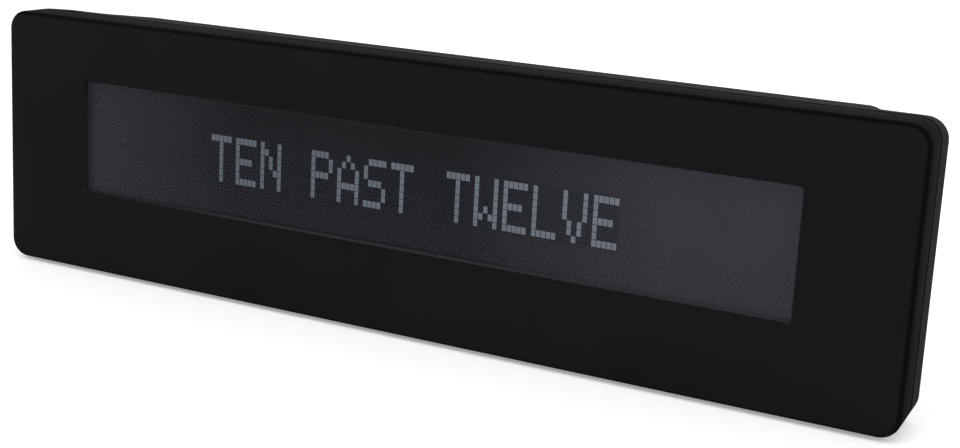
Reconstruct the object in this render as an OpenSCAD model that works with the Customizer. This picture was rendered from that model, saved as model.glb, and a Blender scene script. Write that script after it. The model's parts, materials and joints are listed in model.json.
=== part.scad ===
// Desk clock that tells the time in words: a wide, shallow two-shell case with a dot-matrix
// display behind its front window, and a tapered box at the back with keys and a battery bay.
// +X is to the right seen from the front, +Y runs from the front face to the back, +Z is up.
// The origin is on the table, under the middle of the case. Sizes are in millimetres.

/* [Case] */
// Width of the front
case_w = 208; // [200:1:220]
// Height of the front, without the feet
case_h = 57.7; // [57:0.1:64]
// Depth from the front face to the rear face
case_depth = 32.6; // [32:0.1:38]
// Depth of the front shell, to the middle of the parting line
bezel_depth = 8.8; // [8:0.1:10]
// Depth at which the full-width rim of the rear cover ends
rim_depth = 16.3; // [15.8:0.1:18]
// Thickness of the shells' walls
wall = 2; // [1.6:0.1:2.2]
// Corner radius of the case, seen from the front
corner_r = 4.2; // [3.4:0.1:6]
// Rounding of the front shell's front edge
front_edge_r = 1.2; // [0.8:0.1:1.6]
// Rounding of the rear cover's rim
rim_edge_r = 0.6; // [0.3:0.1:1]
// Open groove between the two shells
parting_gap = 0.3; // [0.2:0.05:0.5]
// Downward slope of the rear cover's top, in degrees
top_slope = 6.5; // [4:0.5:8]

/* [Rear box] */
// Width of the ledge on each side of the rear box
ledge_w = 9.5; // [9:0.1:11]
// How much each side of the rear box draws in, up to the rear face
box_taper = 5; // [3:0.1:7]
// Hollow blend between the rim and the sides of the box
shoulder_r = 3; // [1.5:0.1:3.5]
// Rounding of the rear edges
rear_edge_r = 3; // [2.4:0.1:4]

/* [Window and display] */
// Width of the front face beside the window
side_border = 21.5; // [20:0.1:26]
// Height of the front face above the window
top_border = 13.85; // [12.6:0.05:16]
// Height of the front face below the window
bottom_border = 18.35; // [17:0.05:21]
// Corner radius of the window opening
window_r = 0.95; // [0.5:0.05:1.5]
// Thickness of the lip in front of the window pane
lip_t = 1.3; // [1:0.1:1.6]
// Thickness of the window pane
pane_t = 1; // [0.8:0.1:1.2]
// Overlap of the window pane behind the lip
pane_lap = 2.5; // [2:0.1:3]
// Thickness of the foam gasket round the display glass
gasket_t = 0.4; // [0.3:0.05:0.6]
// Thickness of each display glass
glass_t = 1.1; // [0.7:0.1:1.1]
// Overlap of the display glass past the window opening
glass_lap = 3.2; // [2.8:0.1:3.5]
// Height of the contact ledge along the bottom of the front glass
ledge_h = 3; // [2.5:0.1:3.2]
// Thickness of a polariser film
polariser_t = 0.2; // [0.15:0.05:0.3]
// Overlap of the polarisers, light guide and films past the window opening
film_lap = 1.2; // [1:0.1:1.6]
// Thickness of the diffuser sheet
diffuser_t = 0.3; // [0.2:0.05:0.4]
// Thickness of the light guide
guide_t = 3; // [2.6:0.1:3]
// Thickness of the reflector sheet
reflector_t = 0.2; // [0.15:0.05:0.3]
// Thickness of the elastomer contact strip
strip_t = 2; // [1.5:0.1:2.2]
// Distance from the contact strip's ends to the glass's ends
strip_end = 4; // [3:0.5:8]
// Thickness of the backlight boards
led_board_t = 0.8; // [0.6:0.1:1]
// Thickness of a backlight LED
led_t = 0.6; // [0.5:0.1:0.8]
// Light-emitting diodes on each backlight board
led_count = 3; // [2:1:4]
// Thickness of the display frame's floor
frame_floor = 0.8; // [0.6:0.1:1]
// Thickness of the display frame's walls
frame_wall = 1.4; // [1.2:0.1:1.6]

/* [Boards] */
// Thickness of the circuit boards
board_t = 1.6; // [1:0.2:1.6]
// How far the main board reaches past the display frame, above and below
board_past_frame = 2; // [1:0.1:2.5]
// How far the main board reaches past its screws, to the sides
board_past_screws = 2.5; // [2.5:0.1:3]
// Length of the control board
control_board_w = 70; // [69:0.5:72]
// Height of the control board
control_board_h = 33; // [33:0.5:34]
// Distance from the control board's back to the rear face
control_board_back = 8.6; // [8.6:0.1:9.2]
// Distance of the control board from the middle of the case
control_board_x = 6; // [4:0.5:7]
// Height of the control board over the case's underside
control_board_lift = 12.2; // [11:0.1:13]
// Distance from the control board's screws to its edges
control_screw_edge = 3.5; // [3:0.1:4]
// Distance between the control board's upper and lower screws
control_screw_pitch = 14; // [13:0.1:15]
// Reach of a control board screw behind the board
control_screw_reach = 4; // [3:0.1:4]
// Side of a display driver chip
driver_chip = 12; // [10:0.5:14]
// Side of the controller chip
controller_chip_side = 10; // [8:0.5:12]
// Gap between the chips and the flat cable, and the chips' rise over the window's centre
chip_gap = 4; // [3.5:0.1:5]
// Height of a chip
chip_h = 1.4; // [1:0.1:1.6]
// Radius of an electrolytic capacitor
capacitor_r = 2.5; // [2:0.1:3]
// Height of an electrolytic capacitor
capacitor_h = 5.4; // [5:0.1:7]
// Radius of the quartz crystal's can
crystal_r = 1; // [0.8:0.1:1.5]
// Length of the quartz crystal's can
crystal_l = 6; // [5:0.5:8]
// Width of the flat cable
ribbon_w = 10; // [8:0.5:12]
// Thickness of the flat cable
ribbon_t = 0.3; // [0.2:0.05:0.4]

/* [Keys and switch] */
// Length of a key's cap
key_w = 8; // [6.5:0.1:8.4]
// Height of a key's cap
key_h = 5; // [4:0.1:5.6]
// Distance between neighbouring keys
key_pitch = 13; // [12.4:0.1:13.2]
// Corner radius of a key's cap
key_r = 1; // [0.6:0.1:1.6]
// Travel of a key
key_travel = 0.5; // [0.3:0.05:0.6]
// Distance of the keys' middle line from the control board's upper edge
key_drop = 6; // [5.5:0.1:7]
// Height of the row of switch, buzzer and inlet over the control board's lower edge
low_row_rise = 10; // [9:0.1:11]
// Distance from the buzzer to the slide switch and to the inlet
low_row_pitch = 20; // [18:0.5:21]
// Clearance round a key or switch slider in its opening
key_gap = 0.25; // [0.15:0.05:0.35]
// Width of a key's retaining flange past its cap
flange_lap = 1.2; // [1:0.1:1.4]
// Thickness of a key's retaining flange
flange_t = 1; // [0.8:0.1:1.2]
// Depth of the recess that the keys stand in
recess_d = 1; // [0.8:0.1:1.2]
// How far keys and slider stay below the rear face
key_shy = 0.3; // [0.2:0.05:0.5]
// Side of a push switch
push_switch = 6; // [5:0.1:6.4]
// Radius of a push switch's plunger
plunger_r = 1.75; // [1.4:0.05:2]
// Length of the slide switch's housing
slide_body_w = 9; // [8.6:0.1:10]
// Height of the slide switch's housing
slide_body_h = 4.4; // [4.2:0.1:5]
// Travel of the slide switch
slide_travel = 2.5; // [1.5:0.1:3]
// Length of the slide switch's slider
slider_w = 3; // [2.5:0.1:3.2]
// Height of the slide switch's slider
slider_h = 1.8; // [1.5:0.1:2.1]

/* [Sounder and power inlet] */
// Radius of the buzzer
buzzer_r = 6; // [5:0.1:6.5]
// Radius of a sound hole
sound_hole_r = 0.7; // [0.5:0.05:0.9]
// Width of the power inlet's metal shell
inlet_w = 8.9; // [8.3:0.1:9.4]
// Height of the power inlet's metal shell
inlet_h = 3.3; // [3:0.1:3.8]
// Thickness of the inlet's sheet metal
inlet_t = 0.3; // [0.25:0.05:0.4]

/* [Battery bay] */
// Radius of a cell
cell_r = 7.2; // [7:0.05:7.25]
// Length of a cell, with its positive tip
cell_l = 50.5; // [49.5:0.1:51]
// Distance between the axes of neighbouring cells
cell_pitch = 15; // [14.8:0.1:15.2]
// Length of the positive tip
tip_l = 1; // [0.8:0.1:1.5]
// Radius of the positive tip
tip_r = 2.7; // [2:0.1:2.8]
// Distance from the middle of the case to the bay
bay_x = 12.5; // [12:0.5:15]
// Clearance between a cell and the door
cell_door_gap = 0.6; // [0.5:0.05:0.8]
// Thickness of the bay's walls
bay_wall = 1.3; // [1.2:0.1:1.5]
// Thickness of a contact plate
plate_t = 0.4; // [0.3:0.05:0.5]
// Side of a contact plate
plate_side = 10; // [9:0.1:11]
// Height of the dimple that meets a positive tip
dimple_h = 0.6; // [0.4:0.1:0.8]
// Length of a fitted contact spring
spring_l = 6.4; // [6:0.1:7]
// Radius of a contact spring at its plate, to the wire's middle
spring_r1 = 3.9; // [3.5:0.1:4.3]
// Radius of a contact spring at the cell, to the wire's middle
spring_r2 = 2.2; // [2:0.1:2.6]
// Diameter of the spring wire
spring_wire = 0.7; // [0.6:0.05:0.7]
// Curls of a contact spring
spring_curls = 4; // [3:1:4]
// Diameter of a battery lead
lead_d = 1.2; // [1:0.1:1.4]

/* [Battery door] */
// Thickness of the door's plate
door_t = 1.8; // [1.5:0.1:1.8]
// Clearance round the door
door_gap = 0.25; // [0.2:0.05:0.35]
// Reach of the door's tabs under the sill
tab_reach = 2; // [1.5:0.1:2.2]
// Thickness of the tabs and of the latch nose
tab_t = 1.2; // [1:0.1:1.3]
// Height of a tab
tab_h = 7; // [5:0.5:9]
// Distance between the middles of the two tabs
tab_pitch = 22; // [18:0.5:24]
// Reach of the latch nose under the sill
latch_reach = 0.6; // [0.4:0.1:0.8]
// Height of the latch tongue
latch_h = 12; // [10:0.5:14]
// Length of the latch tongue
latch_l = 7; // [6:0.5:9]
// Width of the slots beside the latch tongue
latch_slot = 0.8; // [0.6:0.1:1.2]

/* [Screws and feet] */
// Radius of a case screw's head
case_head_r = 2.3; // [2:0.1:2.4]
// Height of a case screw's head
case_head_h = 1.6; // [1.2:0.1:1.8]
// Core radius of a case screw
case_core_r = 1.1; // [0.9:0.05:1.2]
// Distance of the case screws from the case's sides
case_screw_inset = 5; // [4.6:0.1:5.2]
// Distance of the case screws from the case's underside and top
case_screw_z = 9; // [8:0.5:12]
// Radius of a board screw's head
board_head_r = 1.9; // [1.6:0.1:2]
// Height of a board screw's head
board_head_h = 1.2; // [1:0.1:1.4]
// Core radius of a board screw
board_core_r = 0.8; // [0.7:0.05:0.9]
// Distance of the board screws from the case's sides
board_screw_inset = 11.5; // [11.3:0.1:11.8]
// Distance of the board screws above and below the window's centre
board_screw_z = 12; // [10:0.5:14]
// Wall round a screw's pilot hole
boss_wall = 1.6; // [1.4:0.1:1.7]
// Running clearance round a screw's core
screw_gap = 0.05; // [0.02:0.01:0.1]
// Radius of a foot
foot_r = 3; // [2.5:0.1:3.2]
// Height that a foot stands out
foot_stand = 0.8; // [0.6:0.1:1.2]
// Depth of a foot's pocket
foot_pocket = 0.8; // [0.6:0.1:1]
// Distance of the front feet from the case's sides
foot_inset = 22; // [18:1:30]
// Distance of the rear feet from the sides of the rear box
rear_foot_inset = 7.5; // [4.2:0.1:12]

/* [Hidden] */
key_names = ["set", "up", "down", "alarm", "light"];

$fn = 64;
eps = 0.01;
corner_steps = 8;
edge_steps = 6;
half_w = case_w / 2;
front_y = -case_depth / 2;
base_z = foot_stand;
top_z = base_z + case_h;

// Depths behind the front face, from the window back to the main board
pane_d = lip_t;
inner_d = pane_d + pane_t;
glass_d = inner_d + gasket_t;
rear_glass_d = glass_d + glass_t;
rear_film_d = rear_glass_d + glass_t;
diffuser_d = rear_film_d + polariser_t;
guide_d = diffuser_d + diffuser_t;
reflector_d = guide_d + guide_t;
floor_d = reflector_d + reflector_t;
board_d = floor_d + frame_floor;
board_back_d = board_d + board_t;

// The parting line
bezel_end_d = bezel_depth - parting_gap / 2;
cover_d = bezel_depth + parting_gap / 2;
lip_clear = 0.1;
lip_w = 1;
lip_l = 2;

// The display
window_w = case_w - 2 * side_border;
window_h = case_h - top_border - bottom_border;
window_cz = base_z + bottom_border + window_h / 2;
glass_w = window_w + 2 * glass_lap;
glass_h = window_h + 2 * glass_lap;
film_w = window_w + 2 * film_lap;
film_h = window_h + 2 * film_lap;
fit_gap = 0.15;
ledge_cz = window_cz - glass_h / 2 - ledge_h / 2;
frame_w = glass_w + 2 * fit_gap + 2 * frame_wall;
frame_top_z = window_cz + glass_h / 2 + fit_gap + frame_wall;
frame_bottom_z = window_cz - glass_h / 2 - ledge_h - fit_gap - frame_wall;
led_board_x = film_w / 2 + 2 * fit_gap + led_t;
frame_lug_r = 3;
frame_lug_t = 2.2;

// Screws
case_screw_x = half_w - case_screw_inset;
case_screw_zs = [base_z + case_screw_z, top_z - case_screw_z];
case_pilot_r = case_core_r + screw_gap;
case_seat_t = 2.5;
case_seat_d = cover_d + case_seat_t;
case_tip_d = inner_d + 1.3;
case_post_r = case_head_r + 0.3 + 0.9;
board_screw_x = half_w - board_screw_inset;
board_screw_zs = [window_cz - board_screw_z, window_cz + board_screw_z];
board_pilot_r = board_core_r + screw_gap;
board_boss_r = board_pilot_r + boss_wall;
board_tip_d = inner_d + 1.6;
main_board_w = 2 * (board_screw_x + board_past_screws);
main_board_z = frame_bottom_z - board_past_frame;
main_board_h = frame_top_z - frame_bottom_z + 2 * board_past_frame;

// The rear cover
box_root_w = case_w - 2 * ledge_w;
box_rear_w = box_root_w - 2 * box_taper;
rear_top_z = top_z - (case_depth - bezel_depth) * tan(top_slope);
ledge_rise = 0.15;
ledge_d = rim_depth + ledge_rise;
rear_in_d = case_depth - wall;
recess_floor_d = case_depth - recess_d;
pad_in_d = recess_floor_d - wall;

// The control board and what it carries, seen from the front
control_back_d = case_depth - control_board_back;
control_d = control_back_d - board_t;
control_x = control_board_x;
control_z = base_z + control_board_lift;
key_x = control_x + control_board_w / 2;
key_z = control_z + control_board_h - key_drop;
function key_cx(i) = key_x + (i - (len(key_names) - 1) / 2) * key_pitch;
control_screw_xs = [control_x + control_screw_edge, control_x + control_board_w - control_screw_edge];
control_screw_zs = [control_z + control_screw_edge, control_z + control_screw_edge + control_screw_pitch];
buzzer_x = key_x;
slide_x = buzzer_x - low_row_pitch;
inlet_x = buzzer_x + low_row_pitch;
low_row_z = control_z + low_row_rise;
key_end_d = case_depth - key_shy;
flange_back_d = pad_in_d - 0.1;
flange_front_d = flange_back_d - flange_t;
switch_top_d = flange_front_d - key_travel - 0.3;
plunger_len = 1.5;

// The battery bay
contact_slack = 0.05;
bay_len = 2 * plate_t + spring_l + cell_l + dimple_h + 2 * contact_slack;
bay_x0 = -bay_x - bay_len;
bay_x1 = -bay_x;
bay_cz = (base_z + rear_top_z) / 2;
cell_zs = [for (i = [-1:1]) bay_cz + i * cell_pitch];
cell_d = case_depth - door_t - cell_door_gap - cell_r;
bay_floor_d = cell_d - cell_r - 0.2;
bay_z0 = cell_zs[0] - cell_r - 0.3;
bay_z1 = cell_zs[2] + cell_r + 0.3;
sill_tab = tab_reach + 0.6;
sill_latch = latch_reach + 0.4;
sill_z = 0.6;
door_x0 = bay_x0 + sill_tab;
door_x1 = bay_x1 - sill_latch;
door_z0 = bay_z0 + sill_z;
door_z1 = bay_z1 - sill_z;
tab_front_d = rear_in_d - 0.2 - tab_t;

// The door turns about the middle of its rounded edge
hinge_x = door_x0 + door_gap + door_t / 2;
hinge_d = case_depth - door_t / 2;

// The feet, under the front shell and under the rear box
foot_ds = [(front_edge_r + bezel_end_d) / 2 + 0.3, case_depth - rear_edge_r - foot_r - 1];
foot_xs = [half_w - foot_inset, box_rear_w / 2 - rear_foot_inset];

// ---- Helpers ----

// A flat outline drawn in X and Z, extruded from depth d0 to depth d1 behind the front face
module along_y(d0, d1) {
    translate([0, front_y + d1, 0])
        rotate([90, 0, 0])
            linear_extrude(d1 - d0)
                children();
}

// A round bar from depth d0 to depth d1
module rod(x, z, r, d0, d1) {
    along_y(d0, d1)
        translate([x, z])
            circle(r);
}

// A box given by its X, depth and Z limits
module block(x0, x1, d0, d1, z0, z1) {
    translate([x0, front_y + d0, z0])
        cube([x1 - x0, d1 - d0, z1 - z0]);
}

// A rectangle with round corners, centred
module rounded(w, h, r) {
    square([w - 2 * r, h], center = true);
    square([w, h - 2 * r], center = true);
    for (sx = [-1, 1], sz = [-1, 1])
        translate([sx * (w / 2 - r), sz * (h / 2 - r)])
            circle(r);
}

// One corner of a ring of points in X and Z
function corner(cx, cz, r, start) =
    [for (i = [0:corner_steps]) [cx + r * cos(start + 90 * i / corner_steps),
                                 cz + r * sin(start + 90 * i / corner_steps)]];

// A ring with round corners: s is [depth, half width, lowest z, highest z, corner radius]
function ring(s) =
    [for (p = concat(corner(s[1] - s[4], s[2] + s[4], s[4], -90),
                     corner(s[1] - s[4], s[3] - s[4], s[4], 0),
                     corner(s[4] - s[1], s[3] - s[4], s[4], 90),
                     corner(s[4] - s[1], s[2] + s[4], s[4], 180)))
        [p[0], front_y + s[0], p[1]]];

// The side faces between rings of n points, as triangles
function skin(rings, n) =
    [for (i = [0:rings - 2], j = [0:n - 1], half = [0, 1])
        let (a = i * n + j, b = i * n + (j + 1) % n)
            half == 0 ? [a, b, b + n] : [a, b + n, a + n]];

// A solid through rings of equally many points, with flat ends
module skinned(rings) {
    n = len(rings[0]);
    last = (len(rings) - 1) * n;
    polyhedron(
        points = [for (r = rings, p = r) p],
        faces = concat([[for (j = [n - 1:-1:0]) j]],
                       skin(len(rings), n),
                       [[for (j = [0:n - 1]) last + j]]));
}

module loft(sections) {
    skinned([for (s = sections) ring(s)]);
}

// The parting plane's outline drawn in by an inset, at a depth
function front_section(d, inset) =
    [d, half_w - inset, base_z + inset, top_z - inset, max(corner_r - inset, 0.5)];

// ---- Tubes: springs and leads ----

function unit(v) = v / norm(v);

function path_tangent(path, i) =
    unit(path[min(i + 1, len(path) - 1)] - path[max(i - 1, 0)]);

// Rings of a tube along a path, square to it; side is a direction that the path never takes
function tube_rings(path, r, sides, side) =
    [for (i = [0:len(path) - 1])
        let (t = path_tangent(path, i), u = unit(cross(t, side)), v = cross(t, u))
            [for (k = [0:sides - 1])
                path[i] + r * (cos(-360 * k / sides) * u + sin(-360 * k / sides) * v)]];

module tube(path, r, sides, side) {
    skinned(tube_rings(path, r, sides, side));
}

// ---- Front shell ----

bezel_outer = concat(
    [for (i = [0:edge_steps]) let (a = 90 * i / edge_steps)
        front_section(front_edge_r * (1 - cos(a)), front_edge_r * (1 - sin(a)))],
    [front_section(bezel_end_d, 0)]);

module bezel_bosses() {
    for (sx = [-1, 1], z = case_screw_zs)
        rod(sx * case_screw_x, z, case_pilot_r + boss_wall, inner_d - eps, cover_d);
    for (sx = [-1, 1], z = board_screw_zs)
        rod(sx * board_screw_x, z, board_boss_r, inner_d - eps, board_d - frame_lug_t);
}

module front_bezel() {
    color("#17191b")
        difference() {
            union() {
                difference() {
                    loft(bezel_outer);
                    loft([front_section(inner_d, wall), front_section(bezel_depth + 1, wall)]);
                }
                bezel_bosses();
            }
            along_y(-1, inner_d + 1)
                translate([0, window_cz])
                    rounded(window_w, window_h, window_r);
            along_y(pane_d, inner_d + 1)
                translate([0, window_cz])
                    rounded(window_w + 2 * pane_lap, window_h + 2 * pane_lap, window_r);
            for (sx = [-1, 1], z = case_screw_zs)
                rod(sx * case_screw_x, z, case_pilot_r, case_tip_d - 0.3, cover_d + 1);
            for (sx = [-1, 1], z = board_screw_zs)
                rod(sx * board_screw_x, z, board_pilot_r, board_tip_d - 0.3, board_d);
            for (sx = [-1, 1])
                foot_shape(sx * foot_xs[0], foot_ds[0], foot_r + lip_clear, base_z + foot_pocket);
        }
}

module window_pane() {
    color("#2a2a30", 0.5)
        along_y(pane_d, pane_d + pane_t)
            translate([0, window_cz])
                rounded(window_w + 2 * pane_lap - 2 * fit_gap,
                        window_h + 2 * pane_lap - 2 * fit_gap, window_r);
}

// ---- Display ----

// A sheet behind the window: its width, height and the z of its lower edge
module sheet(w, z0, h, d, t) {
    block(-w / 2, w / 2, d, d + t, z0, z0 + h);
}

module display_gasket() {
    color("#1c1c1c")
        difference() {
            sheet(glass_w, window_cz - glass_h / 2, glass_h, inner_d, gasket_t);
            sheet(film_w + 2 * fit_gap, window_cz - film_h / 2 - fit_gap,
                  film_h + 2 * fit_gap, inner_d - 1, gasket_t + 2);
        }
}

module front_polariser() {
    color("#3b3a44")
        sheet(film_w, window_cz - film_h / 2, film_h, glass_d - polariser_t, polariser_t);
}

module front_glass() {
    color("#46454f")
        sheet(glass_w, window_cz - glass_h / 2 - ledge_h, glass_h + ledge_h, glass_d, glass_t);
}

module rear_glass() {
    color("#46454f")
        sheet(glass_w, window_cz - glass_h / 2, glass_h, rear_glass_d, glass_t);
}

module rear_polariser() {
    color("#34333c")
        sheet(film_w, window_cz - film_h / 2, film_h, rear_film_d, polariser_t);
}

module diffuser_sheet() {
    color("#e6e6e2")
        sheet(film_w, window_cz - film_h / 2, film_h, diffuser_d, diffuser_t);
}

module light_guide() {
    color("#d8e4ea")
        sheet(film_w, window_cz - film_h / 2, film_h, guide_d, guide_t);
}

module reflector_sheet() {
    color("#f4f4f2")
        sheet(film_w, window_cz - film_h / 2, film_h, reflector_d, reflector_t);
}

module backlight_boards() {
    color("#e8e8e4")
        for (sx = [-1, 1])
            translate([sx * (led_board_x + led_board_t / 2), 0, 0])
                block(-led_board_t / 2, led_board_t / 2, guide_d, floor_d,
                      window_cz - film_h / 2 + 1, window_cz + film_h / 2 - 1);
}

module backlight_leds() {
    color("#fff6d8")
        for (sx = [-1, 1], i = [0:led_count - 1])
            translate([sx * (led_board_x - led_t / 2), 0,
                       window_cz + (i - (led_count - 1) / 2) * film_h / led_count])
                block(-led_t / 2, led_t / 2, guide_d + 0.4, reflector_d - 0.4, -1.6, 1.6);
}

// The tray that carries the glass, the films and the light guide
module display_frame() {
    color("#d9d9d4")
        difference() {
            union() {
                block(-frame_w / 2, frame_w / 2, glass_d, board_d, frame_bottom_z, frame_top_z);
                for (sx = [-1, 1], z = board_screw_zs) {
                    rod(sx * board_screw_x, z, frame_lug_r, board_d - frame_lug_t, board_d);
                    translate([sx * (board_screw_x + frame_w / 2 - 2) / 2, 0, 0])
                        block(-(board_screw_x - frame_w / 2 + 2) / 2,
                              (board_screw_x - frame_w / 2 + 2) / 2,
                              board_d - frame_lug_t, board_d, z - frame_lug_r, z + frame_lug_r);
                }
            }
            sheet(glass_w + 2 * fit_gap, window_cz - glass_h / 2 - ledge_h - fit_gap,
                  glass_h + ledge_h + 2 * fit_gap, glass_d - 1, glass_t + 1);
            sheet(glass_w + 2 * fit_gap, window_cz - glass_h / 2 - fit_gap,
                  glass_h + 2 * fit_gap, rear_glass_d - eps, glass_t + eps);
            sheet(film_w + 2 * fit_gap, window_cz - film_h / 2 - fit_gap,
                  film_h + 2 * fit_gap, rear_film_d - eps, floor_d - rear_film_d + eps);
            sheet(2 * (led_board_x + led_board_t + fit_gap), window_cz - film_h / 2 + 1 - fit_gap,
                  film_h - 2 + 2 * fit_gap, guide_d, floor_d - guide_d);
            sheet(glass_w - 2 * strip_end + 2 * fit_gap, ledge_cz - strip_t / 2 - fit_gap,
                  strip_t + 2 * fit_gap, rear_glass_d - eps, board_d - rear_glass_d + 1);
            for (sx = [-1, 1], z = board_screw_zs)
                rod(sx * board_screw_x, z, board_core_r + 0.3, board_d - frame_lug_t - 1, board_d + 1);
        }
}

module contact_strip() {
    color("#c9a8ae")
        sheet(glass_w - 2 * strip_end, ledge_cz - strip_t / 2, strip_t, rear_glass_d, board_d - rear_glass_d);
}

// ---- Main board ----

module main_board() {
    color("#1f5a35")
        difference() {
            block(-main_board_w / 2, main_board_w / 2, board_d, board_back_d,
                  main_board_z, main_board_z + main_board_h);
            for (sx = [-1, 1], z = board_screw_zs)
                rod(sx * board_screw_x, z, board_core_r + 0.3, board_d - 1, board_back_d + 1);
        }
}

// A pan-head screw whose head sits at seat_d and whose core ends at tip_d
module screw(x, z, head_r, head_h, core_r, seat_d, tip_d) {
    recess = head_h * 0.5;
    difference() {
        rod(x, z, head_r, seat_d, seat_d + head_h);
        for (turn = [0, 90])
            along_y(seat_d + head_h - recess, seat_d + head_h + 1)
                translate([x, z])
                    rotate(turn)
                        square([head_r * 1.2, head_r * 0.28], center = true);
    }
    rod(x, z, core_r, tip_d, seat_d + eps);
}

module board_screws() {
    color("#b9bcc0")
        for (sx = [-1, 1], z = board_screw_zs)
            screw(sx * board_screw_x, z, board_head_r, board_head_h, board_core_r,
                  board_back_d, board_tip_d);
}

// A flat chip with rows of leads on two sides, on the back of the main board
module chip(x, z, side, rows) {
    block(x - side / 2, x + side / 2, board_back_d, board_back_d + chip_h, z - side / 2, z + side / 2);
    pitch = side / rows;
    for (i = [0:rows - 1], s = [-1, 1])
        translate([x + (i - (rows - 1) / 2) * pitch, 0, z + s * (side / 2 + 0.5)])
            block(-pitch / 4, pitch / 4, board_back_d, board_back_d + chip_h / 2, -0.5 - eps, 0.5 + eps);
}

// The chips stand in one row: the controller, then the flat cable, then the two drivers
ribbon_x = control_x + control_board_w / 2 - low_row_pitch * 0.7;
controller_x = ribbon_x - ribbon_w / 2 - chip_gap - controller_chip_side / 2;
driver_x = ribbon_x + ribbon_w / 2 + 2 * chip_gap + driver_chip / 2;
chip_cz = window_cz + chip_gap;

module driver_chips() {
    color("#26282a")
        for (i = [0, 1])
            chip(driver_x + i * (driver_chip + 2 * chip_gap), chip_cz, driver_chip, 10);
}

module controller_chip() {
    color("#26282a")
        chip(controller_x, chip_cz, controller_chip_side, 8);
}

module quartz_crystal() {
    color("#c4c7ca")
        translate([controller_x - crystal_l / 2, front_y + board_back_d + crystal_r,
                   chip_cz - controller_chip_side / 2 - 2 - 2 * crystal_r])
            rotate([0, 90, 0])
                cylinder(r = crystal_r, h = crystal_l);
}

module capacitors() {
    color("#3a4152")
        for (i = [0:2])
            translate([driver_x + i * (2 * capacitor_r + 2), front_y + board_back_d,
                       main_board_z + capacitor_r + 3])
                rotate([-90, 0, 0])
                    rotate_extrude()
                        polygon([[0, 0], [capacitor_r, 0], [capacitor_r, 0.8],
                                 [capacitor_r - 0.3, 1], [capacitor_r, 1.2],
                                 [capacitor_r, capacitor_h - 0.3],
                                 [capacitor_r - 0.3, capacitor_h], [0, capacitor_h]]);
}

// ---- Flat cable between the boards ----

ribbon_socket_t = 2.2;
ribbon_socket_h = 4;
ribbon_socket_edge = 3;
ribbon_z0 = main_board_z + ribbon_socket_h + ribbon_socket_edge;
ribbon_z1 = control_z + control_board_h / 2 - 1;

module ribbon_sockets() {
    color("#e9e4d4") {
        block(ribbon_x - ribbon_w / 2 - 1.5, ribbon_x + ribbon_w / 2 + 1.5, board_back_d,
              board_back_d + ribbon_socket_t, ribbon_z0 - ribbon_socket_h, ribbon_z0);
        block(ribbon_x - ribbon_w / 2 - 1.5, ribbon_x + ribbon_w / 2 + 1.5,
              control_d - ribbon_socket_t, control_d, ribbon_z1 - ribbon_socket_h, ribbon_z1);
    }
}

// The cable leaves both sockets upwards and turns over in one loose half round
module ribbon_cable() {
    d0 = board_back_d + ribbon_socket_t / 2;
    d1 = control_d - ribbon_socket_t / 2;
    bend_r = (d1 - d0) / 2;
    bend_z = ribbon_z1 + 2;
    color("#e3e0d6")
        translate([ribbon_x - ribbon_w / 2, 0, 0]) {
            block(0, ribbon_w, d0 - ribbon_t / 2, d0 + ribbon_t / 2, ribbon_z0, bend_z);
            block(0, ribbon_w, d1 - ribbon_t / 2, d1 + ribbon_t / 2, ribbon_z1, bend_z);
            translate([0, front_y + (d0 + d1) / 2, bend_z])
                rotate([90, 0, 90])
                    rotate_extrude(angle = 180)
                        translate([bend_r - ribbon_t / 2, 0])
                            square([ribbon_t, ribbon_w]);
        }
}

// ---- Control board at the back ----

module control_board() {
    color("#1f5a35")
        difference() {
            block(control_x, control_x + control_board_w, control_d, control_back_d,
                  control_z, control_z + control_board_h);
            for (x = control_screw_xs, z = control_screw_zs)
                rod(x, z, board_core_r + 0.3, control_d - 1, control_back_d + 1);
        }
}

// These screws enter from the front of the board, so their heads face the front
module control_board_screws() {
    color("#b9bcc0")
        for (x = control_screw_xs, z = control_screw_zs)
            translate([0, 2 * (front_y + control_d), 0])
                mirror([0, 1, 0])
                    screw(x, z, board_head_r, board_head_h, board_core_r, control_d,
                          control_d - board_t - control_screw_reach);
}

module push_switches() {
    color("#2b2d30")
        for (i = [0:len(key_names) - 1])
            difference() {
                block(key_cx(i) - push_switch / 2, key_cx(i) + push_switch / 2,
                      control_back_d, switch_top_d, key_z - push_switch / 2, key_z + push_switch / 2);
                rod(key_cx(i), key_z, plunger_r + 0.1, switch_top_d - plunger_len - 0.2, switch_top_d + 1);
            }
}

module plunger(i) {
    color("#e5e2da")
        rod(key_cx(i), key_z, plunger_r, switch_top_d - plunger_len + key_travel, flange_front_d);
}

// A key: a crowned cap that shows at the back, on a flange that keeps it in
module key(i) {
    crown = 0.25;
    color("#3d3f41")
        translate([key_cx(i), 0, key_z]) {
            along_y(flange_back_d - eps, key_end_d - crown)
                rounded(key_w, key_h, key_r);
            along_y(key_end_d - crown - eps, key_end_d)
                rounded(key_w - 2 * crown, key_h - 2 * crown, key_r - crown);
            along_y(flange_front_d, flange_back_d)
                rounded(key_w + 2 * flange_lap, key_h + 2 * flange_lap, key_r);
        }
}

slide_cavity_h = slider_h + 1;
slide_rest_x = slide_x - slide_travel / 2;
slide_top_d = switch_top_d;

module slide_switch() {
    opening_w = slider_w + slide_travel + 2 * key_gap;
    color("#b4b7ba")
        difference() {
            block(slide_x - slide_body_w / 2, slide_x + slide_body_w / 2, control_back_d, slide_top_d,
                  low_row_z - slide_body_h / 2, low_row_z + slide_body_h / 2);
            block(slide_x - opening_w / 2 - 0.8, slide_x + opening_w / 2 + 0.8,
                  slide_top_d - 2.4, slide_top_d - 0.5,
                  low_row_z - slide_cavity_h / 2, low_row_z + slide_cavity_h / 2);
            block(slide_x - opening_w / 2, slide_x + opening_w / 2, slide_top_d - 1, slide_top_d + 1,
                  low_row_z - slider_h / 2 - 0.15, low_row_z + slider_h / 2 + 0.15);
        }
}

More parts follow.
